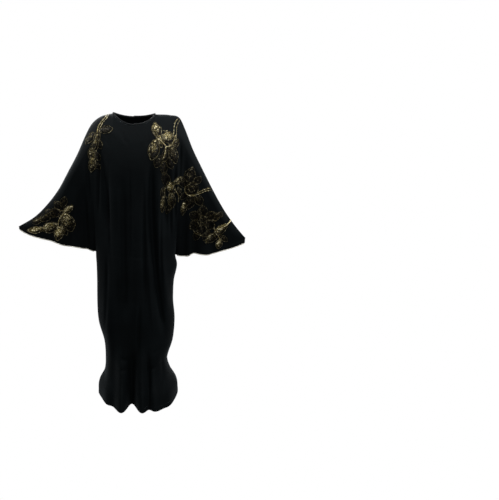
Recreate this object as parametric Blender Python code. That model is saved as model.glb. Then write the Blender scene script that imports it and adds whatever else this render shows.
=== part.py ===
"""Butterfly abaya, worn open and hollow: front and back cut in one with their wings.

Metres, +Z up. The origin is the middle of the neck opening at the height of the shoulders.
+X is the wearer's left and the front faces -Y. Heights in the tables are counted from the hem.
"""

import bpy
import numpy as np

# Driving sizes
GARMENT_LENGTH = 1.45        # high shoulder to hem
CLOTH = 0.0018               # thickness of a cloth wall
SEAM_GAP = 0.0003            # between two pieces at a seam
NECK_HALF_WIDTH = 0.105
NECK_DROP_FRONT = 0.055
NECK_DROP_BACK = 0.018
NECK_REACH_FRONT = 0.074     # how far the neckline stands in front of the shoulder seam
NECK_REACH_BACK = 0.062
NECK_BINDING_HEIGHT = 0.008
PIPING_HEIGHT = 0.0045
PIPING_SHORT = 0.75          # share of a hem's end step that the piping leaves bare
SLEEVE_BACK_DROP = 0.012     # how much lower the back of a sleeve hem hangs
WING_FULLNESS = 0.050        # half the depth of a sleeve at its fullest
SHOULDER_ROUNDING = 0.095    # drop over which the cloth turns over the shoulder
SLEEVE_ROUNDING = 0.065      # the same along the arm

# Counts of faces
BODY_COLUMNS = 34
WING_COLUMNS = 10
UPPER_ROWS = 16
LOWER_ROWS = 18

# How the surfaces are shaped
NECK_ROUNDNESS = 2.3         # power of the neckline's curve: 2 is a parabola, more is squarer
FOLD_FADE_IN = 0.16          # drop over which a fold grows from its upper end
FOLD_FADE_OUT = 0.14         # drop over which it fades at its lower end
WING_FOLD_FADE_IN = 0.4      # the same for a wing's fold, as a share of its length
ROOM_UPPER = 0.03            # a fold is full where the cloth is this far from the seam plane
ROOM_LOWER = 0.06
BODY_FOLDS_END = 1 / 6       # share of the wing in which the body's folds die out
ROUNDING_CHANGE = 0.25       # share of the wing in which the shoulder's rounding turns smaller
MOST_ROUNDING = 0.5          # share of a short column that the rounding takes at most
TIP_BLUNTNESS = 12           # power of the wing's closing at its tip
PLANE_DROP = 0.2             # drop over which the seam plane leaves the arm line
UPPER_ROW_BUNCHING = 0.6     # 0 spaces the rows evenly, 1 bunches them at the arm line
BODY_COLUMN_BUNCHING = 0.7   # the same for the body's columns, at the side seams
WING_COLUMN_BUNCHING = 0.55  # and for the wing's columns, at both ends

# Wearer's right is -1 and wearer's left is +1
SIDES = (-1, 1)

# Top of each side, from the neck to the sleeve's tip: (distance from the middle, height)
ARM_LINE = {
    -1: ((0.105, 1.447), (0.164, 1.428), (0.206, 1.390), (0.230, 1.346), (0.272, 1.250),
         (0.319, 1.160), (0.363, 1.077), (0.425, 0.993), (0.478, 0.939), (0.558, 0.887)),
    1: ((0.105, 1.450), (0.172, 1.449), (0.222, 1.434), (0.246, 1.387), (0.285, 1.292),
        (0.338, 1.188), (0.397, 1.078), (0.459, 0.974), (0.518, 0.895), (0.572, 0.833)),
}

# Sleeve hem, from the underarm to the tip: (distance from the middle, height)
SLEEVE_HEM = {
    -1: ((0.190, 0.770), (0.235, 0.786), (0.285, 0.797), (0.335, 0.803), (0.414, 0.828),
         (0.465, 0.839), (0.515, 0.853), (0.558, 0.872)),
    1: ((0.206, 0.752), (0.234, 0.749), (0.264, 0.748), (0.298, 0.763), (0.332, 0.758),
        (0.367, 0.754), (0.436, 0.771), (0.502, 0.786), (0.572, 0.805)),
}

# Where the body meets the wing at the top of the arm line
SPLIT_AT_TOP = {-1: 0.206, 1: 0.228}

# Body below the sleeves: (height, right half width, left half width, front reach,
# back reach, shift of the side seams to the back)
BODY_SECTIONS = (
    (0.785, 0.190, 0.206, 0.128, 0.150, -0.026),
    (0.750, 0.190, 0.206, 0.132, 0.150, -0.024),
    (0.700, 0.188, 0.216, 0.142, 0.150, -0.018),
    (0.620, 0.187, 0.202, 0.152, 0.154, -0.010),
    (0.520, 0.188, 0.199, 0.165, 0.160, 0.000),
    (0.400, 0.182, 0.209, 0.172, 0.162, 0.006),
    (0.290, 0.154, 0.200, 0.178, 0.166, 0.008),
    (0.190, 0.149, 0.172, 0.195, 0.172, 0.010),
    (0.120, 0.156, 0.190, 0.216, 0.186, 0.012),
    (0.060, 0.184, 0.224, 0.239, 0.206, 0.014),
    (0.000, 0.188, 0.232, 0.262, 0.222, 0.016),
)

# Body above the underarm: (height, front reach, back reach, seam plane, how far the body
# and the wing are drawn together where they meet, from 0 to 1)
CHEST_SECTIONS = (
    (0.765, 0.128, 0.150, -0.026, 1.00),
    (0.850, 0.126, 0.146, -0.022, 0.93),
    (0.950, 0.126, 0.140, -0.018, 0.80),
    (1.050, 0.128, 0.132, -0.014, 0.64),
    (1.150, 0.130, 0.124, -0.010, 0.52),
    (1.250, 0.124, 0.120, -0.006, 0.46),
    (1.350, 0.102, 0.110, -0.002, 0.44),
    (1.400, 0.084, 0.090, 0.000, 0.44),
    (1.450, 0.076, 0.072, 0.000, 0.44),
)
TIP_SHIFT = {-1: 0.020, 1: 0.030}   # how far back a sleeve's tip lies

# Folds of the front: three places on the fold's line as x and height, its depth at the
# upper and the lower end, and its half width. A negative depth is a ridge.
FRONT_FOLDS = (
    (-0.166, 1.340, -0.140, 1.150, -0.122, 0.860, 0.014, 0.018, 0.014),
    (-0.096, 1.220, -0.088, 0.900, -0.082, 0.520, -0.006, -0.012, 0.026),
    (-0.052, 1.180, -0.050, 0.820, -0.046, 0.420, 0.008, 0.014, 0.020),
    (0.012, 1.120, 0.010, 0.760, 0.000, 0.380, -0.004, -0.010, 0.028),
    (0.081, 1.260, 0.090, 0.830, 0.154, 0.320, 0.020, 0.022, 0.016),
    (0.112, 1.200, 0.126, 0.830, 0.180, 0.420, -0.010, -0.010, 0.018),
    (0.150, 1.300, 0.152, 1.100, 0.150, 0.840, 0.012, 0.014, 0.015),
    (-0.142, 0.640, -0.132, 0.400, -0.118, 0.160, -0.010, -0.018, 0.022),
    (-0.104, 0.330, -0.100, 0.160, -0.108, 0.000, 0.008, 0.020, 0.022),
    (-0.013, 0.360, -0.012, 0.160, -0.013, 0.000, 0.004, 0.086, 0.026),
    (0.068, 0.300, 0.070, 0.140, 0.072, 0.000, 0.010, 0.018, 0.016),
    (-0.066, 0.350, -0.066, 0.150, -0.068, 0.000, -0.002, -0.032, 0.028),
    (0.036, 0.350, 0.036, 0.150, 0.036, 0.000, -0.002, -0.030, 0.024),
    (0.104, 0.390, 0.108, 0.160, 0.112, 0.000, -0.004, -0.044, 0.044),
    (0.160, 0.350, 0.168, 0.150, 0.178, 0.000, -0.002, -0.042, 0.034),
    (-0.166, 0.200, -0.168, 0.100, -0.172, 0.000, 0.004, 0.030, 0.022),
)

# Folds of the back, in the same terms
BACK_FOLDS = (
    (-0.150, 1.300, -0.146, 1.080, -0.132, 0.840, 0.014, 0.018, 0.017),
    (-0.080, 1.220, -0.086, 0.800, -0.100, 0.340, 0.010, 0.022, 0.021),
    (-0.030, 1.160, -0.034, 0.740, -0.044, 0.260, -0.006, -0.012, 0.028),
    (0.030, 1.240, 0.026, 0.780, 0.014, 0.200, 0.012, 0.024, 0.021),
    (0.092, 1.200, 0.090, 0.760, 0.084, 0.320, -0.008, -0.012, 0.026),
    (0.140, 1.280, 0.134, 1.000, 0.128, 0.700, 0.014, 0.018, 0.018),
    (-0.106, 0.320, -0.112, 0.150, -0.122, 0.000, 0.008, 0.030, 0.028),
    (0.002, 0.280, -0.002, 0.140, -0.006, 0.000, 0.006, 0.044, 0.030),
    (0.112, 0.300, 0.120, 0.150, 0.130, 0.000, 0.008, 0.028, 0.027),
)

# Folds of a wing, on either face: distance from the middle and height at both ends,
# depth at the middle of the fold, and half width
WING_FOLDS = {
    -1: ((0.238, 1.120, 0.230, 0.770, 0.016, 0.013), (0.300, 1.020, 0.318, 0.800, 0.010, 0.018),
         (0.386, 0.960, 0.402, 0.820, 0.010, 0.017)),
    1: ((0.240, 1.300, 0.248, 0.980, 0.010, 0.014), (0.300, 1.060, 0.300, 0.750, 0.014, 0.017),
        (0.372, 1.000, 0.398, 0.760, 0.012, 0.020)),
}


def smooth_curve(at, places, values):
    """Value at each place of a smooth curve through the given points (cubic Hermite)."""
    order = np.argsort(places)
    places = np.asarray(places, float)[order]
    values = np.asarray(values, float)[order]
    steps = np.diff(values) / np.diff(places)
    slopes = np.concatenate([steps[:1], (steps[1:] + steps[:-1]) / 2, steps[-1:]])
    turned = np.concatenate([[False], steps[1:] * steps[:-1] <= 0, [False]])
    slopes[turned] = 0.0
    at = np.clip(at, places[0], places[-1])
    index = np.clip(np.searchsorted(places, at) - 1, 0, len(places) - 2)
    width = places[index + 1] - places[index]
    t = (at - places[index]) / width
    return ((1 + 2 * t) * (1 - t) ** 2 * values[index] + t * (1 - t) ** 2 * width * slopes[index]
            + t * t * (3 - 2 * t) * values[index + 1] - t * t * (1 - t) * width * slopes[index + 1])


def column(table, index):
    """One named column of a table of rows."""
    return [row[index] for row in table]


def ease(t):
    """Smooth step from 0 to 1."""
    t = np.clip(t, 0.0, 1.0)
    return t * t * (3 - 2 * t)


def by_side(x, right, left):
    """Takes the right value where x is on the wearer's right, and the left one elsewhere."""
    return np.where(x < 0, right, left)


def top_height(x, face):
    """Height of the panel's top edge: neckline in the middle, then shoulder and arm line."""
    across = np.abs(x)
    arm = by_side(x, *[smooth_curve(across, column(ARM_LINE[side], 0), column(ARM_LINE[side], 1))
                       for side in SIDES])
    drop = NECK_DROP_FRONT if face > 0 else NECK_DROP_BACK
    share = np.clip(across / NECK_HALF_WIDTH, 0, 1)
    return arm - drop * (1 - share ** NECK_ROUNDNESS)


def sleeve_height(x, face):
    """Height of the sleeve hem, from the underarm to the tip."""
    across = np.abs(x)
    hem = by_side(x, *[smooth_curve(across, column(SLEEVE_HEM[side], 0), column(SLEEVE_HEM[side], 1))
                       for side in SIDES])
    tips = by_side(x, SLEEVE_HEM[-1][-1][0], SLEEVE_HEM[1][-1][0])
    inner = by_side(x, SLEEVE_HEM[-1][0][0], SLEEVE_HEM[1][0][0])
    along = np.clip((across - inner) / (tips - inner), 0, 1)
    if face > 0:
        return hem
    return hem - SLEEVE_BACK_DROP * np.sin(np.pi * along)


def fold_depth(x, height, folds):
    """Depth of all long folds at x and height. A fold's line is a parabola through its
    three places, and its section is a bell. It fades in at its upper end, and out at its
    lower end unless that is the hem."""
    depth = np.zeros_like(x)
    for x_top, h_top, x_mid, h_mid, x_low, h_low, d_top, d_low, half_width in folds:
        a = (height - h_mid) * (height - h_low) / ((h_top - h_mid) * (h_top - h_low))
        b = (height - h_top) * (height - h_low) / ((h_mid - h_top) * (h_mid - h_low))
        c = (height - h_top) * (height - h_mid) / ((h_low - h_top) * (h_low - h_mid))
        inside = np.clip((h_top - height) / (h_top - h_low), 0, 1)
        line = np.where((height < h_top) & (height > h_low),
                        a * x_top + b * x_mid + c * x_low, np.where(height < h_mid, x_low, x_top))
        fade = ease((h_top - height) / FOLD_FADE_IN)
        if h_low > 0:
            fade = fade * ease((height - h_low) / FOLD_FADE_OUT)
        amount = d_top + (d_low - d_top) * inside
        depth += amount * fade * np.exp(-((x - line) / half_width) ** 2)
    return depth


def wing_fold_depth(x, height):
    """Depth of the wings' folds at x and height, fading at both ends."""
    depth = np.zeros_like(x)
    for side in SIDES:
        for x_top, h_top, x_low, h_low, amount, half_width in WING_FOLDS[side]:
            share = (h_top - height) / (h_top - h_low)
            line = side * (x_top + (x_low - x_top) * np.clip(share, 0, 1))
            fade = ease(share / WING_FOLD_FADE_IN)
            depth += amount * fade * np.exp(-((x - line) / half_width) ** 2)
    return depth


def chest(height, index):
    """One column of the sections above the underarm, at these heights."""
    return smooth_curve(height, column(CHEST_SECTIONS, 0), column(CHEST_SECTIONS, index))


def body(height, index):
    """One column of the sections below the underarm, at these heights."""
    return smooth_curve(height, column(BODY_SECTIONS, 0), column(BODY_SECTIONS, index))


def column_places():
    """Place of each column across the garment: -2 at the right tip, -1 at the right side,
    0 in the middle, 1 at the left side, 2 at the left tip."""
    angle = np.linspace(-np.pi / 2, np.pi / 2, BODY_COLUMNS + 1)
    middle = (BODY_COLUMN_BUNCHING * np.sin(angle)
              + (1 - BODY_COLUMN_BUNCHING) * angle / (np.pi / 2))
    step = np.linspace(0, 1, WING_COLUMNS + 1)[1:]
    wing = (1 + (1 - WING_COLUMN_BUNCHING) * step
            + WING_COLUMN_BUNCHING * (1 - np.cos(step * np.pi)) / 2)
    return np.concatenate([-wing[::-1], middle, wing])


def underarm_height(place):
    """Level where the sleeves end, straight from one underarm to the other."""
    right, left = SLEEVE_HEM[-1][0][1], SLEEVE_HEM[1][0][1]
    return right + (left - right) * (place + 1) / 2


def upper_surface(place, share, face):
    """Outer surface from the top edge (share 0) to the underarm or sleeve hem (share 1).

    Each column runs down the cloth from the neckline, the shoulder or the arm line. Its
    distance from the seam plane is a body's oval or a wing's lens, closed over the
    shoulder by a quarter round."""
    side = np.where(place < 0, -1, 1)
    s = np.clip(np.abs(place), 0, 1)
    wing = np.clip(np.abs(place) - 1, 0, 1)
    split_top = by_side(place, SPLIT_AT_TOP[-1], SPLIT_AT_TOP[1])
    split_low = by_side(place, SLEEVE_HEM[-1][0][0], SLEEVE_HEM[1][0][0])
    tip = by_side(place, ARM_LINE[-1][-1][0], ARM_LINE[1][-1][0])
    x_top = side * (split_top * s + (tip - split_top) * wing)
    x_low = side * (split_low * s + (tip - split_low) * wing)
    x = x_top + (x_low - x_top) * share
    h_top = top_height(x_top, face)
    h_low = np.where(np.abs(place) < 1, underarm_height(place), sleeve_height(x_low, face))
    height = h_top + (h_low - h_top) * share

    reach = chest(height, 1 if face > 0 else 2)
    drawn = chest(height, 4)
    closest = CLOTH + SEAM_GAP / 2
    oval = np.sqrt(reach ** 2 * np.clip(1 - drawn * s ** 2, 0, 1) + (closest * s) ** 2)
    lens = WING_FULLNESS * np.sqrt(np.clip(4 * wing * (1 - wing), 0, 1))
    full = np.sqrt((oval * (1 - wing)) ** 2 + lens ** 2)
    body_folds = fold_depth(x, height, FRONT_FOLDS if face > 0 else BACK_FOLDS)
    folds = body_folds * (1 - ease(wing / BODY_FOLDS_END)) + wing_fold_depth(x, height)
    full = full - folds * np.clip((full - closest) / ROOM_UPPER, 0, 1)

    neck_share = np.clip(np.abs(x_top) / NECK_HALF_WIDTH, 0, 1)
    neck_reach = NECK_REACH_FRONT if face > 0 else NECK_REACH_BACK
    start = neck_reach * np.sqrt(1 - neck_share ** 2)
    change = ease(wing / ROUNDING_CHANGE)
    rounding = SHOULDER_ROUNDING + (SLEEVE_ROUNDING - SHOULDER_ROUNDING) * change
    rounding = np.minimum(rounding, MOST_ROUNDING * (h_top - h_low))
    below = np.clip((h_top - height) / rounding, 0, 1)
    turn = np.sqrt(1 - (1 - below) ** 2)
    closed_tip = np.sqrt(np.clip(1 - wing ** TIP_BLUNTNESS, 0, 1))
    away = (start + (full - start) * turn) * closed_tip

    plane = chest(height, 3)
    plane = plane + (by_side(place, TIP_SHIFT[-1], TIP_SHIFT[1]) - plane) * wing
    plane = plane * np.sqrt(np.clip((h_top - height) / PLANE_DROP, 0, 1))
    y = plane - face * np.maximum(away, SEAM_GAP / 2)
    return np.stack([x, y, height - GARMENT_LENGTH], -1)


def lower_surface(place, share, face):
    """Outer surface of the body from the underarm (share 0) to the hem (share 1).

    Each level is an oval through the two side seams, pushed in at the folds."""
    height = underarm_height(place) * (1 - share)
    half_width = by_side(place, body(height, 1), body(height, 2))
    x = place * half_width
    reach = body(height, 3 if face > 0 else 4)
    full = reach * np.sqrt(np.clip(1 - place ** 2, 0, 1))
    folds = fold_depth(x, height, FRONT_FOLDS if face > 0 else BACK_FOLDS)
    away = full - folds * np.clip(full / ROOM_LOWER, 0, 1)
    y = body(height, 5) - face * np.maximum(away, SEAM_GAP / 2)
    return np.stack([x, y, height - GARMENT_LENGTH], -1)


def panel_grid(face):
    """Points of one panel as rows by columns, from top to hem. Below the underarm the wing
    columns hold no points, and a mask says which faces exist."""
    places = column_places()
    body_part = slice(WING_COLUMNS, WING_COLUMNS + BODY_COLUMNS + 1)
    step = np.linspace(0, 1, UPPER_ROWS + 1)
    upper_share = (1 - UPPER_ROW_BUNCHING) * step + UPPER_ROW_BUNCHING * step ** 2
    lower_share = np.linspace(0, 1, LOWER_ROWS + 1)[1:]
    upper = upper_surface(*np.meshgrid(places, upper_share), face)
    lower = np.repeat(upper[-1:], LOWER_ROWS, axis=0)
    lower[:, body_part] = lower_surface(*np.meshgrid(places[body_part], lower_share), face)
    points = np.concatenate([upper, lower])
    exists = np.ones((UPPER_ROWS + LOWER_ROWS, len(places) - 1), bool)
    exists[UPPER_ROWS:, :WING_COLUMNS] = False
    exists[UPPER_ROWS:, WING_COLUMNS + BODY_COLUMNS:] = False
    return points, exists


def unit(vectors):
    """Vectors scaled to length 1."""
    return vectors / np.maximum(np.linalg.norm(vectors, axis=-1, keepdims=True), 1e-12)


def outward(points, exists, face):
    """Unit normal at each point: the mean of the faces round it, pointing out."""
    across = points[:, 1:] - points[:, :-1]
    down = points[1:] - points[:-1]
    normal = unit(np.cross(down[:, :-1] + down[:, 1:], across[:-1] + across[1:])) * face
    normal[~exists] = 0
    total = np.zeros_like(points)
    total[:-1, :-1] += normal
    total[:-1, 1:] += normal
    total[1:, :-1] += normal
    total[1:, 1:] += normal
    return unit(total)


def seam_points(points):
    """Mask of the points on the shoulder, arm and side seams."""
    seam = np.zeros(points.shape[:2], bool)
    seam[0] = np.abs(points[0, :, 0]) >= NECK_HALF_WIDTH
    seam[:UPPER_ROWS + 1, 0] = True
    seam[:UPPER_ROWS + 1, -1] = True
    seam[UPPER_ROWS + 1:, WING_COLUMNS] = True
    seam[UPPER_ROWS + 1:, WING_COLUMNS + BODY_COLUMNS] = True
    return seam


def closed_wall(outer, inner, exists):
    """Vertices and quads of a wall: outer faces, inner faces turned round, and its edges."""
    rows, columns = exists.shape
    number = np.full(outer.shape[:2], -1)
    used = np.zeros(outer.shape[:2], bool)
    for dr in (0, 1):
        for dc in (0, 1):
            used[dr:dr + rows, dc:dc + columns] |= exists
    number[used] = np.arange(used.sum())
    count = int(used.sum())
    r, c = np.nonzero(exists)
    a, b, d, e = number[r, c], number[r, c + 1], number[r + 1, c + 1], number[r + 1, c]
    quads = np.stack([a, b, d, e], -1)
    sides = np.concatenate([quads[:, [0, 1]], quads[:, [1, 2]], quads[:, [2, 3]], quads[:, [3, 0]]])
    keys = {tuple(pair) for pair in sides.tolist()}
    rim = [(p, q) for p, q in sides.tolist() if (q, p) not in keys]
    faces = quads[:, ::-1].tolist()
    faces += (quads + count).tolist()
    faces += [(p, q, q + count, p + count) for p, q in rim]
    return np.concatenate([outer[used], inner[used]]), faces


def add_piece(name, points, faces, material, collection):
    """Makes a named mesh object, with its faces turned outwards: a tetrahedron from the
    origin to each half of each face adds up to a volume above 0 when they are."""
    mesh = bpy.data.meshes.new(name)
    mesh.from_pydata(points.tolist(), [], faces)
    a, b, c, d = points[np.array(faces)].transpose(1, 0, 2)
    if (a * (np.cross(b, c) + np.cross(c, d))).sum() < 0:
        mesh.flip_normals()
    mesh.validate()
    mesh.materials.append(material)
    mesh.shade_smooth()
    piece = bpy.data.objects.new(name, mesh)
    collection.objects.link(piece)
    return piece


def cloth_material(name, color, roughness):
    """A plain woven cloth."""
    material = bpy.data.materials.new(name)
    material.use_nodes = True
    shader = material.node_tree.nodes["Principled BSDF"]
    shader.inputs["Base Color"].default_value = (*color, 1)
    shader.inputs["Roughness"].default_value = roughness
    shader.inputs["Metallic"].default_value = 0.0
    return material


def panel_walls(face):
    """Outer and inner points of a panel, with its mask of faces. Along the seams the wall is
    laid off in the seam's own plane, so that the two panels' edges face each other squarely,
    which Solidify would not do."""
    points, exists = panel_grid(face)
    normals = outward(points, exists, face)
    normals[seam_points(points), 1] = 0
    return points, points - unit(normals) * CLOTH, exists


def onward(edge, before):
    """Unit direction in which the cloth runs out over its edge, at each point."""
    return unit(edge - before)


def drawn_in(edge):
    """Draws both ends of a sleeve hem in along it, clear of the underarm and of the tip."""
    moved = edge.copy()
    moved[0] += (edge[1] - edge[0]) * PIPING_SHORT
    moved[-1] += (edge[-2] - edge[-1]) * PIPING_SHORT
    return moved


def band(outer, inner, direction, height):
    """A narrow wall that carries on from a panel's edge: the edge's points moved on by the
    seam gap, and again by the band's height."""
    near = direction * SEAM_GAP
    far = direction * (SEAM_GAP + height)
    return np.stack([outer + near, outer + far]), np.stack([inner + near, inner + far])


def build():
    """Makes every piece of the garment."""
    for old in list(bpy.data.objects):
        bpy.data.objects.remove(old)
    collection = bpy.data.collections.new("butterfly_abaya")
    bpy.context.scene.collection.children.link(collection)
    crepe = cloth_material("black_crepe", (0.010, 0.012, 0.013), 0.62)
    satin = cloth_material("black_satin_binding", (0.014, 0.015, 0.016), 0.45)
    silver = cloth_material("silver_piping", (0.56, 0.54, 0.47), 0.38)

    edges = {}
    for face, name in ((1, "front_panel"), (-1, "back_panel")):
        outer, inner, exists = panel_walls(face)
        points, faces = closed_wall(outer, inner, exists)
        add_piece(name, points, faces, crepe, collection)
        edges[face] = (outer, inner)

    face_names = {1: "front", -1: "back"}
    side_names = {-1: "right", 1: "left"}
    for side in SIDES:
        for face in (1, -1):
            outer, inner = edges[face]
            start = 0 if side < 0 else WING_COLUMNS + BODY_COLUMNS
            wing = slice(start, start + WING_COLUMNS + 1)
            direction = onward(outer[UPPER_ROWS, wing], outer[UPPER_ROWS - 1, wing])
            hems = [drawn_in(layer[UPPER_ROWS, wing]) for layer in (outer, inner)]
            outer_band, inner_band = band(*hems, direction, PIPING_HEIGHT)
            points, faces = closed_wall(outer_band, inner_band, np.ones((1, WING_COLUMNS), bool))
            name = side_names[side] + "_sleeve_piping_" + face_names[face]
            add_piece(name, points, faces, silver, collection)

    rings = []
    for layer in (0, 1):
        front = edges[1][layer][0]
        back = edges[-1][layer][0]
        neck = np.abs(edges[1][0][0][:, 0]) < NECK_HALF_WIDTH
        rings.append(np.concatenate([front[neck], back[neck][::-1]]))
    outer_ring, inner_ring = [np.concatenate([ring, ring[:1]]) for ring in rings]
    upward = np.tile((0.0, 0.0, 1.0), (len(outer_ring), 1))
    outer_band, inner_band = band(outer_ring, inner_ring, upward, NECK_BINDING_HEIGHT)
    count = len(rings[0])
    points = np.concatenate([outer_band[0, :-1], outer_band[1, :-1],
                             inner_band[0, :-1], inner_band[1, :-1]])
    faces = []
    for i in range(count):
        j = (i + 1) % count
        for a, b in ((0, 1), (1, 3), (3, 2), (2, 0)):
            faces.append((a * count + i, a * count + j, b * count + j, b * count + i))
    add_piece("neck_binding", points, faces, satin, collection)


build()
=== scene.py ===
# %% [markdown]
# A butterfly abaya is a long black robe whose sleeves are cut in one with the body. The packed
# model is the fixed frame: seven plain pieces at their real size. This lesson dresses them as
# cloth: fine creases, a bound neck, a piped sleeve edge and gold flowers sewn by machine.

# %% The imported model
import math

import bpy
import numpy as np
from mathutils import Matrix
from mathutils.bvhtree import BVHTree


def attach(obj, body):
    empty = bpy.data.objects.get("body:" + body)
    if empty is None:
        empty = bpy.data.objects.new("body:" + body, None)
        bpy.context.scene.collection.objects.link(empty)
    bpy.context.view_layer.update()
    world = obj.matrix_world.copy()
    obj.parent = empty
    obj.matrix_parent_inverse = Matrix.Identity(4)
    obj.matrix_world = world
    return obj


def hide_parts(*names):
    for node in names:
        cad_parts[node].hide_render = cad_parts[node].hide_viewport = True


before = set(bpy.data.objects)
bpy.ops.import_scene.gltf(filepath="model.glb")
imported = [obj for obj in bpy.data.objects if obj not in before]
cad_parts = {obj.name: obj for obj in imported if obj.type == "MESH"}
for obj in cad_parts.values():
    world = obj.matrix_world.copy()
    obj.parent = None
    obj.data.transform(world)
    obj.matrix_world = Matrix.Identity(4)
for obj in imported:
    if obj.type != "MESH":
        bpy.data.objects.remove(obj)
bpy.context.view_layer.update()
print("nodes:", sorted(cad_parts))

# %% [markdown]
# The camera stands as high as the shoulders, 3.2 m in front, looks a little down and to the
# right, and leans by two degrees so that the robe stands upright at the left of the picture.
# These angles were found from the robe's outline, so the view needs no lens shift. A camera could
# also be aimed with a constraint; three angles say the same in numbers that can be checked.

# %% Standing a camera or a lamp
def stand(name, data, right, up, back, place):
    """A new object at this place, whose own axes point right, up and back."""
    thing = bpy.data.objects.new(name, data)
    rows = [[right[i], up[i], back[i], place[i]] for i in range(3)]
    thing.matrix_world = Matrix(rows + [[0, 0, 0, 1]])
    bpy.context.scene.collection.objects.link(thing)
    return thing


# %% The camera
CAMERA_PLACE = (0.0, -3.2, 0.0)
TURNED_RIGHT = math.radians(10.558)
LOOKING_DOWN = math.radians(11.820)
LEANING = math.radians(2.186)
LENS = 45.42

ahead = np.array([math.sin(TURNED_RIGHT) * math.cos(LOOKING_DOWN),
                  math.cos(TURNED_RIGHT) * math.cos(LOOKING_DOWN), -math.sin(LOOKING_DOWN)])
level_right = np.array([math.cos(TURNED_RIGHT), -math.sin(TURNED_RIGHT), 0.0])
level_up = np.cross(level_right, ahead)
right = level_right * math.cos(LEANING) + level_up * math.sin(LEANING)
up = level_up * math.cos(LEANING) - level_right * math.sin(LEANING)
lens = bpy.data.cameras.new("camera")
lens.lens = LENS
bpy.context.scene.camera = stand("camera", lens, right, up, -ahead, CAMERA_PLACE)
print("camera at", CAMERA_PLACE, "with a lens of", LENS, "mm")

# %% [markdown]
# The robe's form is known from a few sizes: where the arm line, the sleeve hem and the side
# seams run, and how far the cloth stands in front of and behind the seam plane at each height.
# A cloth simulation would hang by itself, but not in the folds of this robe, so the surface is
# worked out from tables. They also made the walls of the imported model, so the finer cloth lies
# on those walls. Heights are counted from the hem, 1.45 m below the shoulders.

# %% The robe's sizes
GARMENT_LENGTH = 1.45
CLOTH_WALL = 0.0018
NECK_HALF_WIDTH = 0.105
NECK_DROP = {1: 0.055, -1: 0.018}
NECK_REACH = {1: 0.074, -1: 0.062}
SLEEVE_BACK_DROP = 0.012
WING_FULLNESS = 0.050
SHOULDER_ROUNDING = 0.095
SLEEVE_ROUNDING = 0.065
SIDES = (-1, 1)
FRONT, BACK = 1, -1

# distance from the middle, height
ARM_LINE = {
    -1: ((0.105, 1.447), (0.164, 1.428), (0.206, 1.390), (0.230, 1.346), (0.272, 1.250),
         (0.319, 1.160), (0.363, 1.077), (0.425, 0.993), (0.478, 0.939), (0.558, 0.887)),
    1: ((0.105, 1.450), (0.172, 1.449), (0.222, 1.434), (0.246, 1.387), (0.285, 1.292),
        (0.338, 1.188), (0.397, 1.078), (0.459, 0.974), (0.518, 0.895), (0.572, 0.833)),
}
SLEEVE_HEM = {
    -1: ((0.190, 0.770), (0.235, 0.786), (0.285, 0.797), (0.335, 0.803), (0.414, 0.828),
         (0.465, 0.839), (0.515, 0.853), (0.558, 0.872)),
    1: ((0.206, 0.752), (0.234, 0.749), (0.264, 0.748), (0.298, 0.763), (0.332, 0.758),
        (0.367, 0.754), (0.436, 0.771), (0.502, 0.786), (0.572, 0.805)),
}
SPLIT_AT_TOP = {-1: 0.206, 1: 0.228}
TIP_SHIFT = {-1: 0.020, 1: 0.030}

# height, right half width, left half width, front reach, back reach, seam plane
BODY_SECTIONS = (
    (0.785, 0.190, 0.206, 0.128, 0.150, -0.026),
    (0.750, 0.190, 0.206, 0.132, 0.150, -0.024),
    (0.700, 0.188, 0.216, 0.142, 0.150, -0.018),
    (0.620, 0.187, 0.202, 0.152, 0.154, -0.010),
    (0.520, 0.188, 0.199, 0.165, 0.160, 0.000),
    (0.400, 0.182, 0.209, 0.172, 0.162, 0.006),
    (0.290, 0.154, 0.200, 0.178, 0.166, 0.008),
    (0.190, 0.149, 0.172, 0.195, 0.172, 0.010),
    (0.120, 0.156, 0.190, 0.216, 0.186, 0.012),
    (0.060, 0.184, 0.224, 0.239, 0.206, 0.014),
    (0.000, 0.188, 0.232, 0.262, 0.222, 0.016),
)
# height, front reach, back reach, seam plane, how far body and wing are drawn together
CHEST_SECTIONS = (
    (0.765, 0.128, 0.150, -0.026, 1.00),
    (0.850, 0.126, 0.146, -0.022, 0.93),
    (0.950, 0.126, 0.140, -0.018, 0.80),
    (1.050, 0.128, 0.132, -0.014, 0.64),
    (1.150, 0.130, 0.124, -0.010, 0.52),
    (1.250, 0.124, 0.120, -0.006, 0.46),
    (1.350, 0.102, 0.110, -0.002, 0.44),
    (1.400, 0.084, 0.090, 0.000, 0.44),
    (1.450, 0.076, 0.072, 0.000, 0.44),
)

# %% [markdown]
# Folds hang from the shoulders and fade into the cloth. They could be sculpted, but the row of a
# table can be read and changed: three places on a long fold's line, its depth at both ends and its
# half width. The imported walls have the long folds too. The creases are only in this cloth: they
# are short and shallow, and uneven in length and spacing, as real ones are.

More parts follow.
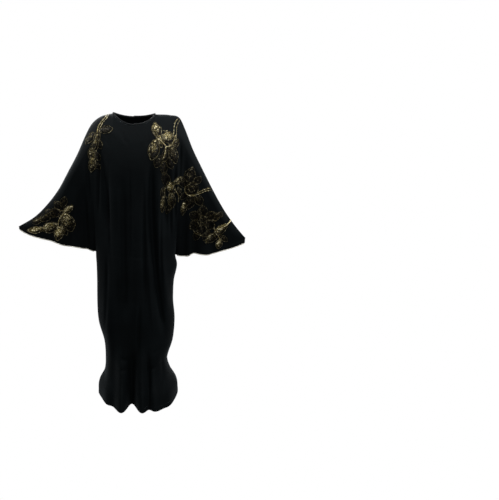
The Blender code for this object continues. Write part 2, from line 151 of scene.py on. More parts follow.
# %% The long folds and the creases
FOLDS = {
    FRONT: (
        (-0.166, 1.340, -0.140, 1.150, -0.122, 0.860, 0.014, 0.018, 0.014),
        (-0.096, 1.220, -0.088, 0.900, -0.082, 0.520, -0.006, -0.012, 0.026),
        (-0.052, 1.180, -0.050, 0.820, -0.046, 0.420, 0.008, 0.014, 0.020),
        (0.012, 1.120, 0.010, 0.760, 0.000, 0.380, -0.004, -0.010, 0.028),
        (0.081, 1.260, 0.090, 0.830, 0.154, 0.320, 0.020, 0.022, 0.016),
        (0.112, 1.200, 0.126, 0.830, 0.180, 0.420, -0.010, -0.010, 0.018),
        (0.150, 1.300, 0.152, 1.100, 0.150, 0.840, 0.012, 0.014, 0.015),
        (-0.142, 0.640, -0.132, 0.400, -0.118, 0.160, -0.010, -0.018, 0.022),
        (-0.104, 0.330, -0.100, 0.160, -0.108, 0.000, 0.008, 0.020, 0.022),
        (-0.013, 0.360, -0.012, 0.160, -0.013, 0.000, 0.004, 0.086, 0.026),
        (0.068, 0.300, 0.070, 0.140, 0.072, 0.000, 0.010, 0.018, 0.016),
        (-0.066, 0.350, -0.066, 0.150, -0.068, 0.000, -0.002, -0.032, 0.028),
        (0.036, 0.350, 0.036, 0.150, 0.036, 0.000, -0.002, -0.030, 0.024),
        (0.104, 0.390, 0.108, 0.160, 0.112, 0.000, -0.004, -0.044, 0.044),
        (0.160, 0.350, 0.168, 0.150, 0.178, 0.000, -0.002, -0.042, 0.034),
        (-0.166, 0.200, -0.168, 0.100, -0.172, 0.000, 0.004, 0.030, 0.022),
    ),
    BACK: (
        (-0.150, 1.300, -0.146, 1.080, -0.132, 0.840, 0.014, 0.018, 0.017),
        (-0.080, 1.220, -0.086, 0.800, -0.100, 0.340, 0.010, 0.022, 0.021),
        (-0.030, 1.160, -0.034, 0.740, -0.044, 0.260, -0.006, -0.012, 0.028),
        (0.030, 1.240, 0.026, 0.780, 0.014, 0.200, 0.012, 0.024, 0.021),
        (0.092, 1.200, 0.090, 0.760, 0.084, 0.320, -0.008, -0.012, 0.026),
        (0.140, 1.280, 0.134, 1.000, 0.128, 0.700, 0.014, 0.018, 0.018),
        (-0.106, 0.320, -0.112, 0.150, -0.122, 0.000, 0.008, 0.030, 0.028),
        (0.002, 0.280, -0.002, 0.140, -0.006, 0.000, 0.006, 0.044, 0.030),
        (0.112, 0.300, 0.120, 0.150, 0.130, 0.000, 0.008, 0.028, 0.027),
    ),
}
# distance from the middle and height at both ends, depth, half width
WING_FOLDS = {
    -1: ((0.238, 1.120, 0.230, 0.770, 0.016, 0.013), (0.300, 1.020, 0.318, 0.800, 0.010, 0.018),
         (0.386, 0.960, 0.402, 0.820, 0.010, 0.017)),
    1: ((0.240, 1.300, 0.248, 0.980, 0.010, 0.014), (0.300, 1.060, 0.300, 0.750, 0.014, 0.017),
        (0.372, 1.000, 0.398, 0.760, 0.012, 0.020)),
}
# x and height at both ends, sideways bow, depth, half width; a negative depth is a ridge
CREASES = {
    FRONT: (
        (-0.155, 1.330, -0.168, 0.930, 0.006, 0.0076, 0.0068),
        (-0.122, 1.250, -0.108, 0.700, 0.006, 0.0080, 0.0076),
        (-0.132, 0.820, -0.150, 0.330, -0.006, 0.0095, 0.0085),
        (-0.072, 1.020, -0.066, 0.560, 0.005, -0.0030, 0.0100),
        (-0.024, 1.230, -0.018, 0.640, -0.004, 0.0068, 0.0076),
        (0.046, 1.160, 0.052, 0.500, 0.005, 0.0080, 0.0085),
        (0.064, 0.960, 0.098, 0.330, 0.008, -0.0040, 0.0100),
        (0.026, 0.560, 0.020, 0.200, 0.004, 0.0072, 0.0093),
        (0.128, 1.080, 0.138, 0.560, 0.006, 0.0085, 0.0076),
        (0.166, 1.180, 0.176, 0.800, -0.004, 0.0076, 0.0068),
        (0.196, 1.260, 0.205, 0.860, 0.005, 0.0080, 0.0076),
        (0.218, 1.350, 0.214, 1.080, -0.004, 0.0065, 0.0068),
        (0.258, 1.180, 0.262, 0.900, 0.004, -0.0030, 0.0090),
        (0.334, 1.080, 0.352, 0.800, 0.006, 0.0068, 0.0085),
        (0.424, 0.960, 0.446, 0.810, 0.005, 0.0034, 0.0100),
        (0.278, 0.930, 0.236, 0.800, 0.006, 0.0038, 0.0100),
        (-0.262, 1.100, -0.270, 0.820, -0.004, 0.0076, 0.0076),
        (-0.346, 1.020, -0.360, 0.835, -0.005, 0.0036, 0.0100),
        (-0.446, 0.940, -0.452, 0.860, -0.004, 0.0028, 0.0090),
        (-0.214, 1.280, -0.206, 1.000, 0.004, 0.0068, 0.0068),
        (-0.050, 0.330, -0.044, 0.020, 0.004, 0.0060, 0.0119),
        (0.062, 0.300, 0.070, 0.010, -0.004, 0.0060, 0.0110),
        (-0.140, 0.250, -0.152, 0.060, 0.006, 0.0044, 0.0100),
        (0.134, 0.260, 0.142, 0.050, -0.004, 0.0050, 0.0085),
        (-0.128, 0.262, 0.010, 0.236, 0.008, 0.0030, 0.0100),
        (0.150, 0.214, 0.040, 0.190, -0.008, 0.0028, 0.0100),
        (-0.120, 0.176, -0.020, 0.190, -0.006, 0.0030, 0.0090),
        (0.176, 0.300, 0.090, 0.262, 0.006, 0.0026, 0.0090),
        (-0.060, 1.376, -0.030, 1.300, 0.006, 0.0022, 0.0100),
        (0.064, 1.378, 0.052, 1.296, -0.006, 0.0022, 0.0100),
        (0.154, 1.400, 0.124, 1.290, -0.008, 0.0026, 0.0100),
        (-0.150, 1.380, -0.126, 1.290, 0.006, 0.0026, 0.0090),
    ),
    BACK: (
        (-0.122, 1.260, -0.124, 0.760, 0.005, 0.0080, 0.0076),
        (-0.172, 1.240, -0.170, 0.900, 0.004, 0.0076, 0.0068),
        (-0.058, 1.200, -0.060, 0.640, -0.004, 0.0072, 0.0085),
        (-0.004, 1.180, -0.010, 0.520, 0.004, -0.0032, 0.0110),
        (0.058, 1.240, 0.060, 0.600, 0.005, 0.0076, 0.0085),
        (0.118, 1.160, 0.112, 0.480, -0.005, 0.0084, 0.0085),
        (0.176, 1.260, 0.172, 0.880, 0.004, 0.0076, 0.0068),
        (-0.138, 0.640, -0.128, 0.260, 0.006, 0.0095, 0.0102),
        (0.146, 0.560, 0.136, 0.220, -0.006, 0.0091, 0.0102),
        (-0.066, 0.420, -0.070, 0.030, 0.004, 0.0106, 0.0110),
        (0.056, 0.360, 0.060, 0.020, -0.004, 0.0106, 0.0110),
        (0.236, 1.260, 0.246, 0.960, 0.004, 0.0076, 0.0076),
        (0.330, 1.060, 0.350, 0.800, 0.005, 0.0068, 0.0085),
        (0.430, 0.950, 0.440, 0.810, 0.004, 0.0032, 0.0100),
        (-0.270, 1.100, -0.276, 0.820, 0.004, 0.0076, 0.0076),
        (-0.352, 1.010, -0.366, 0.830, -0.004, 0.0034, 0.0100),
        (-0.100, 0.230, 0.030, 0.206, 0.006, 0.0028, 0.0100),
        (0.130, 0.250, 0.010, 0.232, -0.006, 0.0028, 0.0100),
        (-0.070, 1.400, -0.120, 1.310, 0.006, 0.0024, 0.0100),
        (0.090, 1.400, 0.140, 1.310, -0.006, 0.0024, 0.0100),
    ),
}
print("long folds:", sum(len(rows) for rows in FOLDS.values()),
      "creases:", sum(len(rows) for rows in CREASES.values()))


# %% [markdown]
# A surface is a function of two numbers: the place across the robe, from -2 at the right sleeve's
# tip to 2 at the left one's, and the share of the way down. Every function below works on whole
# arrays at once, so a finer grid costs no more lines.

# %% Curves through the tables
def smooth_curve(at, places, values):
    """Value of a smooth curve through the points: cubic Hermite with averaged slopes."""
    order = np.argsort(places)
    places = np.asarray(places, float)[order]
    values = np.asarray(values, float)[order]
    steps = np.diff(values) / np.diff(places)
    slopes = np.concatenate([steps[:1], (steps[1:] + steps[:-1]) / 2, steps[-1:]])
    slopes[np.concatenate([[False], steps[1:] * steps[:-1] <= 0, [False]])] = 0.0
    at = np.clip(at, places[0], places[-1])
    index = np.clip(np.searchsorted(places, at) - 1, 0, len(places) - 2)
    width = places[index + 1] - places[index]
    t = (at - places[index]) / width
    return ((1 + 2 * t) * (1 - t) ** 2 * values[index] + t * (1 - t) ** 2 * width * slopes[index]
            + t * t * (3 - 2 * t) * values[index + 1] - t * t * (1 - t) * width * slopes[index + 1])


def from_table(table, at, index):
    """One column of a table, read smoothly at these heights or distances."""
    return smooth_curve(at, [row[0] for row in table], [row[index] for row in table])


def ease(t):
    """Smooth step: 3 t squared less 2 t cubed, held at 0 and 1."""
    t = np.clip(t, 0.0, 1.0)
    return t * t * (3 - 2 * t)


def by_side(x, table):
    """Takes the table's right value where x is below 0, and its left one elsewhere."""
    return np.where(x < 0, table[-1], table[1])


def unit(vectors):
    """Vectors scaled to length 1."""
    return vectors / np.maximum(np.linalg.norm(vectors, axis=-1, keepdims=True), 1e-12)


# %% Depth of the folds and creases
# heights over which a long fold fades in and out, and the share of its length on a wing
FOLD_FADE_IN = 0.16
FOLD_FADE_OUT = 0.14
WING_FOLD_FADE_IN = 0.40
# a crease's bell, the soft ridge round it and how much wider that is, and a crease's fade as
# the number of times that it fits into its length
CREASE_BELL = 1.25
CREASE_RIDGE = 0.35
RIDGE_SPREAD = 5
CREASE_FADES = 3


def fold_depth(x, height, face):
    """Bells across parabolas: the depth of all long folds at x and height."""
    depth = np.zeros_like(x)
    for x_top, h_top, x_mid, h_mid, x_low, h_low, d_top, d_low, half_width in FOLDS[face]:
        a = (height - h_mid) * (height - h_low) / ((h_top - h_mid) * (h_top - h_low))
        b = (height - h_top) * (height - h_low) / ((h_mid - h_top) * (h_mid - h_low))
        c = (height - h_top) * (height - h_mid) / ((h_low - h_top) * (h_low - h_mid))
        inside = np.clip((h_top - height) / (h_top - h_low), 0, 1)
        beyond = np.where(height < h_mid, x_low, x_top)
        line = np.where((height < h_top) & (height > h_low),
                        a * x_top + b * x_mid + c * x_low, beyond)
        fade = ease((h_top - height) / FOLD_FADE_IN)
        if h_low > 0:
            fade = fade * ease((height - h_low) / FOLD_FADE_OUT)
        amount = d_top + (d_low - d_top) * inside
        depth += amount * fade * np.exp(-((x - line) / half_width) ** 2)
    return depth


def wing_fold_depth(x, height):
    """Bells across straight lines down the wings, on both faces alike."""
    depth = np.zeros_like(x)
    for side in SIDES:
        for x_top, h_top, x_low, h_low, amount, half_width in WING_FOLDS[side]:
            share = (h_top - height) / (h_top - h_low)
            line = side * (x_top + (x_low - x_top) * np.clip(share, 0, 1))
            bell = np.exp(-((x - line) / half_width) ** 2)
            depth += amount * ease(share / WING_FOLD_FADE_IN) * bell
    return depth


def crease_depth(x, height, face):
    """Small folds along bowed lines in any direction: a bell of the distance from the line,
    faded over the first and last third of its length, with a soft ridge on either side."""
    depth = np.zeros_like(x)
    for x_a, h_a, x_b, h_b, bow, amount, half_width in CREASES[face]:
        along = np.array([x_b - x_a, h_b - h_a])
        length = np.linalg.norm(along)
        along = along / length
        t = ((x - x_a) * along[0] + (height - h_a) * along[1]) / length
        off = (x - x_a) * along[1] - (height - h_a) * along[0] - bow * 4 * t * (1 - t)
        fade = ease(t * CREASE_FADES) * ease((1 - t) * CREASE_FADES)
        bell = (off / half_width) ** 2
        bell_less_ridge = CREASE_BELL * np.exp(-bell) - CREASE_RIDGE * np.exp(-bell / RIDGE_SPREAD)
        depth += amount * fade * bell_less_ridge
    return depth


# %% The panels' surface
# powers of the neckline's round and of the sleeve tip's blunt end
NECK_ROUNDNESS = 2.3
TIP_BLUNTNESS = 12
# space between front and back where they meet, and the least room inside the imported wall
SEAM_GAP = 0.0001
WALL_ROOM = 0.00015
# shares of a wing over which the body's folds end and the rounding of the top edge changes
BODY_FOLDS_END = 1 / 6
ROUNDING_CHANGE = 0.25
# the rounding's largest share of the cloth's drop, and the height over which the seam plane
# leaves the middle below the arm line
MOST_ROUNDING = 0.5
PLANE_DROP = 0.20
# distances from the seam plane at which folds and creases reach their full depth
ROOM_UPPER = 0.03
ROOM_LOWER = 0.06
CREASE_ROOM_LOWER = 0.04


def top_height(x, face):
    """Neckline in the middle, then the shoulder and the arm line."""
    arm = by_side(x, {side: from_table(ARM_LINE[side], np.abs(x), 1) for side in SIDES})
    share = np.clip(np.abs(x) / NECK_HALF_WIDTH, 0, 1)
    return arm - NECK_DROP[face] * (1 - share ** NECK_ROUNDNESS)


def sleeve_height(x, face):
    """The sleeve hem from the underarm to the tip; the back of it hangs a little lower."""
    hem = by_side(x, {side: from_table(SLEEVE_HEM[side], np.abs(x), 1) for side in SIDES})
    inner = by_side(x, {side: SLEEVE_HEM[side][0][0] for side in SIDES})
    tip = by_side(x, {side: SLEEVE_HEM[side][-1][0] for side in SIDES})
    along = np.clip((np.abs(x) - inner) / (tip - inner), 0, 1)
    return hem - (face < 0) * SLEEVE_BACK_DROP * np.sin(np.pi * along)


def underarm_height(place):
    """The level where the sleeves end, straight from one underarm to the other."""
    low, high = SLEEVE_HEM[-1][0][1], SLEEVE_HEM[1][0][1]
    return low + (high - low) * (place + 1) / 2


def upper_surface(place, share, face):
    """From the neckline or arm line (share 0) to the underarm or sleeve hem (share 1). The
    distance from the seam plane is an oval over the body and a lens over the wing, less the
    folds, and a quarter round closes it over the shoulder."""
    side = np.where(place < 0, -1, 1)
    s = np.clip(np.abs(place), 0, 1)
    wing = np.clip(np.abs(place) - 1, 0, 1)
    split_top = by_side(place, SPLIT_AT_TOP)
    split_low = by_side(place, {k: SLEEVE_HEM[k][0][0] for k in SIDES})
    tip = by_side(place, {k: ARM_LINE[k][-1][0] for k in SIDES})
    x_top = side * (split_top * s + (tip - split_top) * wing)
    x_low = side * (split_low * s + (tip - split_low) * wing)
    x = x_top + (x_low - x_top) * share
    h_top = top_height(x_top, face)
    h_low = np.where(np.abs(place) < 1, underarm_height(place), sleeve_height(x_low, face))
    height = h_top + (h_low - h_top) * share

    reach = from_table(CHEST_SECTIONS, height, 1 if face > 0 else 2)
    drawn = from_table(CHEST_SECTIONS, height, 4)
    closest = CLOTH_WALL + WALL_ROOM
    oval = np.sqrt(reach ** 2 * np.clip(1 - drawn * s ** 2, 0, 1) + (closest * s) ** 2)
    lens_shape = WING_FULLNESS * np.sqrt(np.clip(4 * wing * (1 - wing), 0, 1))
    full = np.sqrt((oval * (1 - wing)) ** 2 + lens_shape ** 2)
    folds = fold_depth(x, height, face) * (1 - ease(wing / BODY_FOLDS_END))
    folds = folds + wing_fold_depth(x, height)
    full = full - folds * np.clip((full - closest) / ROOM_UPPER, 0, 1)
    full = full - crease_depth(x, height, face) * np.clip((full - closest) / ROOM_UPPER, 0, 1)

    start = NECK_REACH[face] * np.sqrt(1 - np.clip(np.abs(x_top) / NECK_HALF_WIDTH, 0, 1) ** 2)
    change = ease(wing / ROUNDING_CHANGE)
    rounding = SHOULDER_ROUNDING + (SLEEVE_ROUNDING - SHOULDER_ROUNDING) * change
    rounding = np.minimum(rounding, MOST_ROUNDING * (h_top - h_low))
    turn = np.sqrt(1 - (1 - np.clip((h_top - height) / rounding, 0, 1)) ** 2)
    away = (start + (full - start) * turn) * np.sqrt(np.clip(1 - wing ** TIP_BLUNTNESS, 0, 1))

    plane = from_table(CHEST_SECTIONS, height, 3)
    plane = plane + (by_side(place, TIP_SHIFT) - plane) * wing
    plane = plane * np.sqrt(np.clip((h_top - height) / PLANE_DROP, 0, 1))
    y = plane - face * np.maximum(away, SEAM_GAP / 2)
    return np.stack([x, y, height - GARMENT_LENGTH], -1)


def lower_surface(place, share, face):
    """The body from the underarm (share 0) to the hem (share 1): an oval through the side
    seams at each level, less the folds and creases."""
    height = underarm_height(place) * (1 - share)
    half_width = np.where(place < 0, from_table(BODY_SECTIONS, height, 1),
                          from_table(BODY_SECTIONS, height, 2))
    x = place * half_width
    full = from_table(BODY_SECTIONS, height, 3 if face > 0 else 4) * np.sqrt(1 - place ** 2)
    folds = fold_depth(x, height, face) * np.clip(full / ROOM_LOWER, 0, 1)
    creases = crease_depth(x, height, face) * np.clip(full / CREASE_ROOM_LOWER, 0, 1)
    away = full - folds - creases
    y = from_table(BODY_SECTIONS, height, 5) - face * np.maximum(away, SEAM_GAP / 2)
    return np.stack([x, y, height - GARMENT_LENGTH], -1)


# %% [markdown]
# The front and the back are each one piece of crepe with a sleeve half on either side, so each is
# a grid in the shape of a T: the wing's columns stop at the sleeve hem, and the body's go on down
# to the floor hem. A plane could be cut to the same outline, but its faces would not run along
# the seams and hems as these columns and rows do.

# %% The two panels as grids
BODY_COLUMNS = 124
WING_COLUMNS = 40
UPPER_ROWS = 120
LOWER_ROWS = 116
# shares of even spacing, the rest being drawn closer to the seams, the tips and the shoulders
EVEN_MIDDLE = 0.5
EVEN_WING = 0.45
EVEN_ROWS = 0.4


def column_places():
    """Places of the columns, closer together at the side seams and the sleeve tips."""
    angle = np.linspace(-np.pi / 2, np.pi / 2, BODY_COLUMNS + 1)
    middle = (1 - EVEN_MIDDLE) * np.sin(angle) + EVEN_MIDDLE * angle / (np.pi / 2)
    step = np.linspace(0, 1, WING_COLUMNS + 1)[1:]
    wing = 1 + EVEN_WING * step + (1 - EVEN_WING) * (1 - np.cos(step * np.pi)) / 2
    return np.concatenate([-wing[::-1], middle, wing])


def panel_grid(face):
    """Points, a mask of faces, and each point's distance from the nearest hem."""
    places = column_places()
    step = np.linspace(0, 1, UPPER_ROWS + 1)
    body = slice(WING_COLUMNS, WING_COLUMNS + BODY_COLUMNS + 1)
    upper_share = EVEN_ROWS * step + (1 - EVEN_ROWS) * step ** 2
    upper = upper_surface(*np.meshgrid(places, upper_share), face)
    lower = np.repeat(upper[-1:], LOWER_ROWS, axis=0)
    lower_share = np.linspace(0, 1, LOWER_ROWS + 1)[1:]
    lower[:, body] = lower_surface(*np.meshgrid(places[body], lower_share), face)
    points = np.concatenate([upper, lower])
    exists = np.ones((UPPER_ROWS + LOWER_ROWS, len(places) - 1), bool)
    exists[UPPER_ROWS:, :WING_COLUMNS] = False
    exists[UPPER_ROWS:, WING_COLUMNS + BODY_COLUMNS:] = False
    from_hem = points[..., 2] - points[UPPER_ROWS][None, :, 2]
    from_hem[:, body] = points[:, body, 2] - points[-1, body, 2]
    return points, exists, np.maximum(from_hem, 0)


def grid_normals(points, exists, face):
    """Mean of the faces round each point, pointing out of the robe."""
    across = points[:, 1:] - points[:, :-1]
    down = points[1:] - points[:-1]
    normal = unit(np.cross(down[:, :-1] + down[:, 1:], across[:-1] + across[1:])) * face
    normal[~exists] = 0
    total = np.zeros_like(points)
    for rows in (slice(None, -1), slice(1, None)):
        for columns in (slice(None, -1), slice(1, None)):
            total[rows, columns] += normal
    return unit(total)


# %% [markdown]
# A mesh can be built point by point with BMesh, which is slow for the eighty thousand points of
# the two panels. Whole arrays are handed over with foreach_set instead. A grid's points are
# numbered row by row, and those outside the T are dropped.

# %% Meshes from whole arrays
def mesh_piece(name, vertices, faces, uv, **values):
    """A named mesh object from whole arrays: vertices, faces of 3 or 4 corners with -1 for a
    missing fourth, a UV for each vertex, and named values for each vertex."""
    mesh = bpy.data.meshes.new(name)
    faces = np.asarray(faces)
    sizes = (faces >= 0).sum(1)
    corners = faces[faces >= 0]
    mesh.vertices.add(len(vertices))
    mesh.vertices.foreach_set("co", np.asarray(vertices, np.float32).ravel())
    mesh.loops.add(len(corners))
    mesh.loops.foreach_set("vertex_index", corners.astype(np.int32))
    mesh.polygons.add(len(faces))
    starts = np.concatenate([[0], np.cumsum(sizes)[:-1]])
    mesh.polygons.foreach_set("loop_start", starts.astype(np.int32))
    mesh.update(calc_edges=True)
    layer = mesh.uv_layers.new(name="cloth")
    layer.data.foreach_set("uv", np.asarray(uv, np.float32)[corners].ravel())
    for key, data in values.items():
        attribute = mesh.attributes.new(key, "FLOAT", "POINT")
        attribute.data.foreach_set("value", np.asarray(data, np.float32).ravel())
    mesh.shade_smooth()
    mesh.validate()
    piece = bpy.data.objects.new(name, mesh)
    bpy.context.scene.collection.objects.link(piece)
    return piece


def grid_faces(exists, face):
    """Quads of a grid as point numbers, turned so that they face out of the robe."""
    columns = exists.shape[1] + 1
    r, c = np.nonzero(exists)
    quads = np.stack([r * columns + c, r * columns + c + 1,
                      (r + 1) * columns + c + 1, (r + 1) * columns + c], -1)
    return quads[:, ::-1] if face > 0 else quads


def used_only(faces, *arrays):
    """Drops the points that no face uses, and renumbers the faces."""
    keep = np.unique(faces)
    number = np.zeros(keep.max() + 1, int)
    number[keep] = np.arange(len(keep))
    return (number[faces], *[a.reshape(-1, *a.shape[2:])[keep] for a in arrays])


# %% Cutting both panels
panels = {}
grids = {}
for face, name in ((FRONT, "front"), (BACK, "back")):
    points, exists, from_hem = panel_grid(face)
    normals = grid_normals(points, exists, face)
    grids[face] = points, normals, exists
    run = np.linalg.norm(np.diff(points, axis=0), axis=-1)
    drop = np.concatenate([np.zeros((1, points.shape[1])), np.cumsum(run, axis=0)])
    span = np.linalg.norm(np.diff(points, axis=1), axis=-1)
    across = np.concatenate([np.zeros((points.shape[0], 1)), np.cumsum(span, axis=1)], axis=1)
    across -= across[:, [points.shape[1] // 2]]
    faces, flat, uv, hem = used_only(grid_faces(exists, face), points,
                                     np.stack([across, -drop], -1), from_hem[..., None])
    panels[face] = mesh_piece(name + "_cloth", flat, faces, uv, from_hem=hem)
    middle = points.shape[1] // 2
    print(name, "cloth: tip to tip along the top", round(float(across[0, -1] - across[0, 0]), 3),
          "m, middle", round(float(drop[-1, middle]), 3), "m, sleeve hem",
          [round(float(np.ptp(across[UPPER_ROWS, part])), 3)
           for part in (slice(0, WING_COLUMNS + 1), slice(-WING_COLUMNS - 1, None))],
          "m, floor hem", round(float(np.ptp(across[-1, WING_COLUMNS:-WING_COLUMNS])), 3), "m")

# %% [markdown]
# Crepe is about half a millimetre thick; the sheet is drawn a little thicker, so that its edges
# show. Solidify adds the inner face and the rim, and leaves the outer face where the tables put
# it, so that the thickness can be changed in one line.

# %% Thickness of the cloth
CREPE = 0.0010

for panel in panels.values():
    thickness = panel.modifiers.new("crepe", "SOLIDIFY")
    thickness.thickness = CREPE
    thickness.offset = -1
    thickness.use_even_offset = False
    thickness.use_rim = True


# %% [markdown]
# Cords, stems and bindings are all one thing: a section swept along a line that lies on the
# cloth. The line brings its own normals, so the section never twists. A curve with a bevel looks
# the same, but this mesh also carries its length in metres, which the twisted stripes need.

# %% Sweeping a section along a line
def sweep(line, normals, section, size=1.0, closed=False):
    """Vertices and faces of a swept body. Each section point is (sideways, outward); size
    scales it along the line. A closed line joins its ends, an open one is capped."""
    ahead_of = np.roll(line, -1, 0) - np.roll(line, 1, 0)
    if not closed:
        ahead_of[0] = line[1] - line[0]
        ahead_of[-1] = line[-1] - line[-2]
    tangent = unit(ahead_of)
    sideways = unit(np.cross(tangent, normals))
    outward = np.cross(sideways, tangent)
    size = np.broadcast_to(size, len(line))[:, None, None]
    ring = (sideways[:, None] * section[None, :, :1] + outward[:, None] * section[None, :, 1:])
    points = (line[:, None] + ring * size).reshape(-1, 3)
    count, sides = len(line), len(section)
    steps = count if closed else count - 1
    i, j = np.meshgrid(np.arange(steps), np.arange(sides), indexing="ij")
    this, following = i * sides, (i + 1) % count * sides
    turned = (j + 1) % sides
    faces = np.stack([this + j, this + turned, following + turned, following + j],
                     -1).reshape(-1, 4)
    if not closed:
        ends = np.stack([line[0], line[-1]])
        fans = []
        for end, start, flip in ((0, 0, True), (1, (count - 1) * sides, False)):
            centre = np.full(sides, len(points) + end)
            a, b = start + np.arange(sides), start + (np.arange(sides) + 1) % sides
            fan = [centre, b, a] if flip else [centre, a, b]
            fans.append(np.stack(fan + [np.full(sides, -1)], -1))
        points = np.concatenate([points, ends])
        faces = np.concatenate([faces, *fans])
    return points, faces


def round_section(radius, sides, flat=1.0):
    """A circle of points, or an oval where flat is below 1."""
    angle = np.arange(sides) * 2 * np.pi / sides
    return np.stack([np.cos(angle) * radius, np.sin(angle) * radius * flat], -1)


def even_steps(line, step):
    """A closed line with points at even steps."""
    line = np.concatenate([line, line[:1]])
    length = np.concatenate([[0], np.cumsum(np.linalg.norm(np.diff(line, axis=0), axis=-1))])
    at = np.linspace(0, length[-1], int(round(length[-1] / step)) + 1)[:-1]
    return np.stack([np.interp(at, length, line[:, k]) for k in range(3)], -1)


def edge_cord(name, line, step, section):
    """A closed cord or strip along an edge, with UVs in metres along it and in turns round it."""
    line = even_steps(line, step)
    count, sides = len(line), len(section)
    upward = np.tile((0.0, 0.0, 1.0), (count, 1))
    vertices, faces = sweep(line, upward, section, closed=True)
    along = np.repeat(np.arange(count) * step, sides)
    turn = np.tile(np.arange(sides) / sides, count)
    print(name, "is", round(count * step, 3), "m round")
    return mesh_piece(name, vertices, faces, np.stack([along, turn], -1))


# %% [markdown]
# The pale piping is one cord round each sleeve opening: out along the front hem, round the tip,
# and back along the back hem. Where front and back lie closer than the cord is thick, its two
# runs are held side by side.

# %% Piping round the sleeves
PIPING_RADIUS = 0.0021
PIPING_STEP = 0.0035
PIPING_SIDES = 10
# how far the cord's middle stands off the edge, in radii
PIPING_OFF = 0.9


def hem_line(face, side):
    """The sleeve hem's edge from underarm to tip, moved on to the cord's middle."""
    points, normals, exists = grids[face]
    columns = slice(0, WING_COLUMNS + 1) if side < 0 else slice(-WING_COLUMNS - 1, None)
    edge = points[UPPER_ROWS, columns]
    on = unit(edge - points[UPPER_ROWS - 1, columns])
    line = edge + on * PIPING_RADIUS * PIPING_OFF - normals[UPPER_ROWS, columns] * CREPE / 2
    return line[::-1] if side < 0 else line


pipings = {}
for side, name in ((-1, "right"), (1, "left")):
    front, back = hem_line(FRONT, side), hem_line(BACK, side)
    middle = (front[:, 1] + back[:, 1]) / 2
    front[:, 1] = np.minimum(front[:, 1], middle - PIPING_RADIUS)
    back[:, 1] = np.maximum(back[:, 1], middle + PIPING_RADIUS)
    loop = np.concatenate([front[2:-1], back[-2:1:-1]])
    pipings[side] = edge_cord(name + "_sleeve_piping", loop, PIPING_STEP,
                              round_section(PIPING_RADIUS, PIPING_SIDES))

# %% [markdown]
# The neck is bound with a strip folded over its edge: a flat rounded section, 9 mm deep, swept
# round the opening a little above the edge of the cloth.

# %% Neck binding
BINDING_HALF_DEPTH = 0.0043
BINDING_HALF_WIDTH = 0.0016
BINDING_STEP = 0.004
BINDING_SIDES = 12
# how far the strip takes in the edge of the cloth, and the power of its rounded section
BINDING_BITE = 0.0005
BINDING_ROUNDNESS = 0.6

neck = np.abs(grids[FRONT][0][0, :, 0]) < NECK_HALF_WIDTH
ring = np.concatenate([grids[FRONT][0][0, neck], grids[BACK][0][0, neck][::-1]])
ring[:, 2] += BINDING_HALF_DEPTH - BINDING_BITE
circle = round_section(1.0, BINDING_SIDES)
section = np.sign(circle) * np.abs(circle) ** BINDING_ROUNDNESS
section = section * (BINDING_HALF_WIDTH, BINDING_HALF_DEPTH)
binding = edge_cord("bound_neck", ring, BINDING_STEP, section)

# %% [markdown]
# The flowers are plain garden ones in gold and bronze thread: round centres, pointed petals and
# leaves, each padded, with a cord run round it. A picture laid on the cloth would stay flat from
# the side, so each petal is a body. It is drawn flat in rings round its middle, then every point
# drops onto the cloth along the cloth's normal there and is raised again by the padding. The
# tables follow the photo's layout and give place, direction, size and tone.

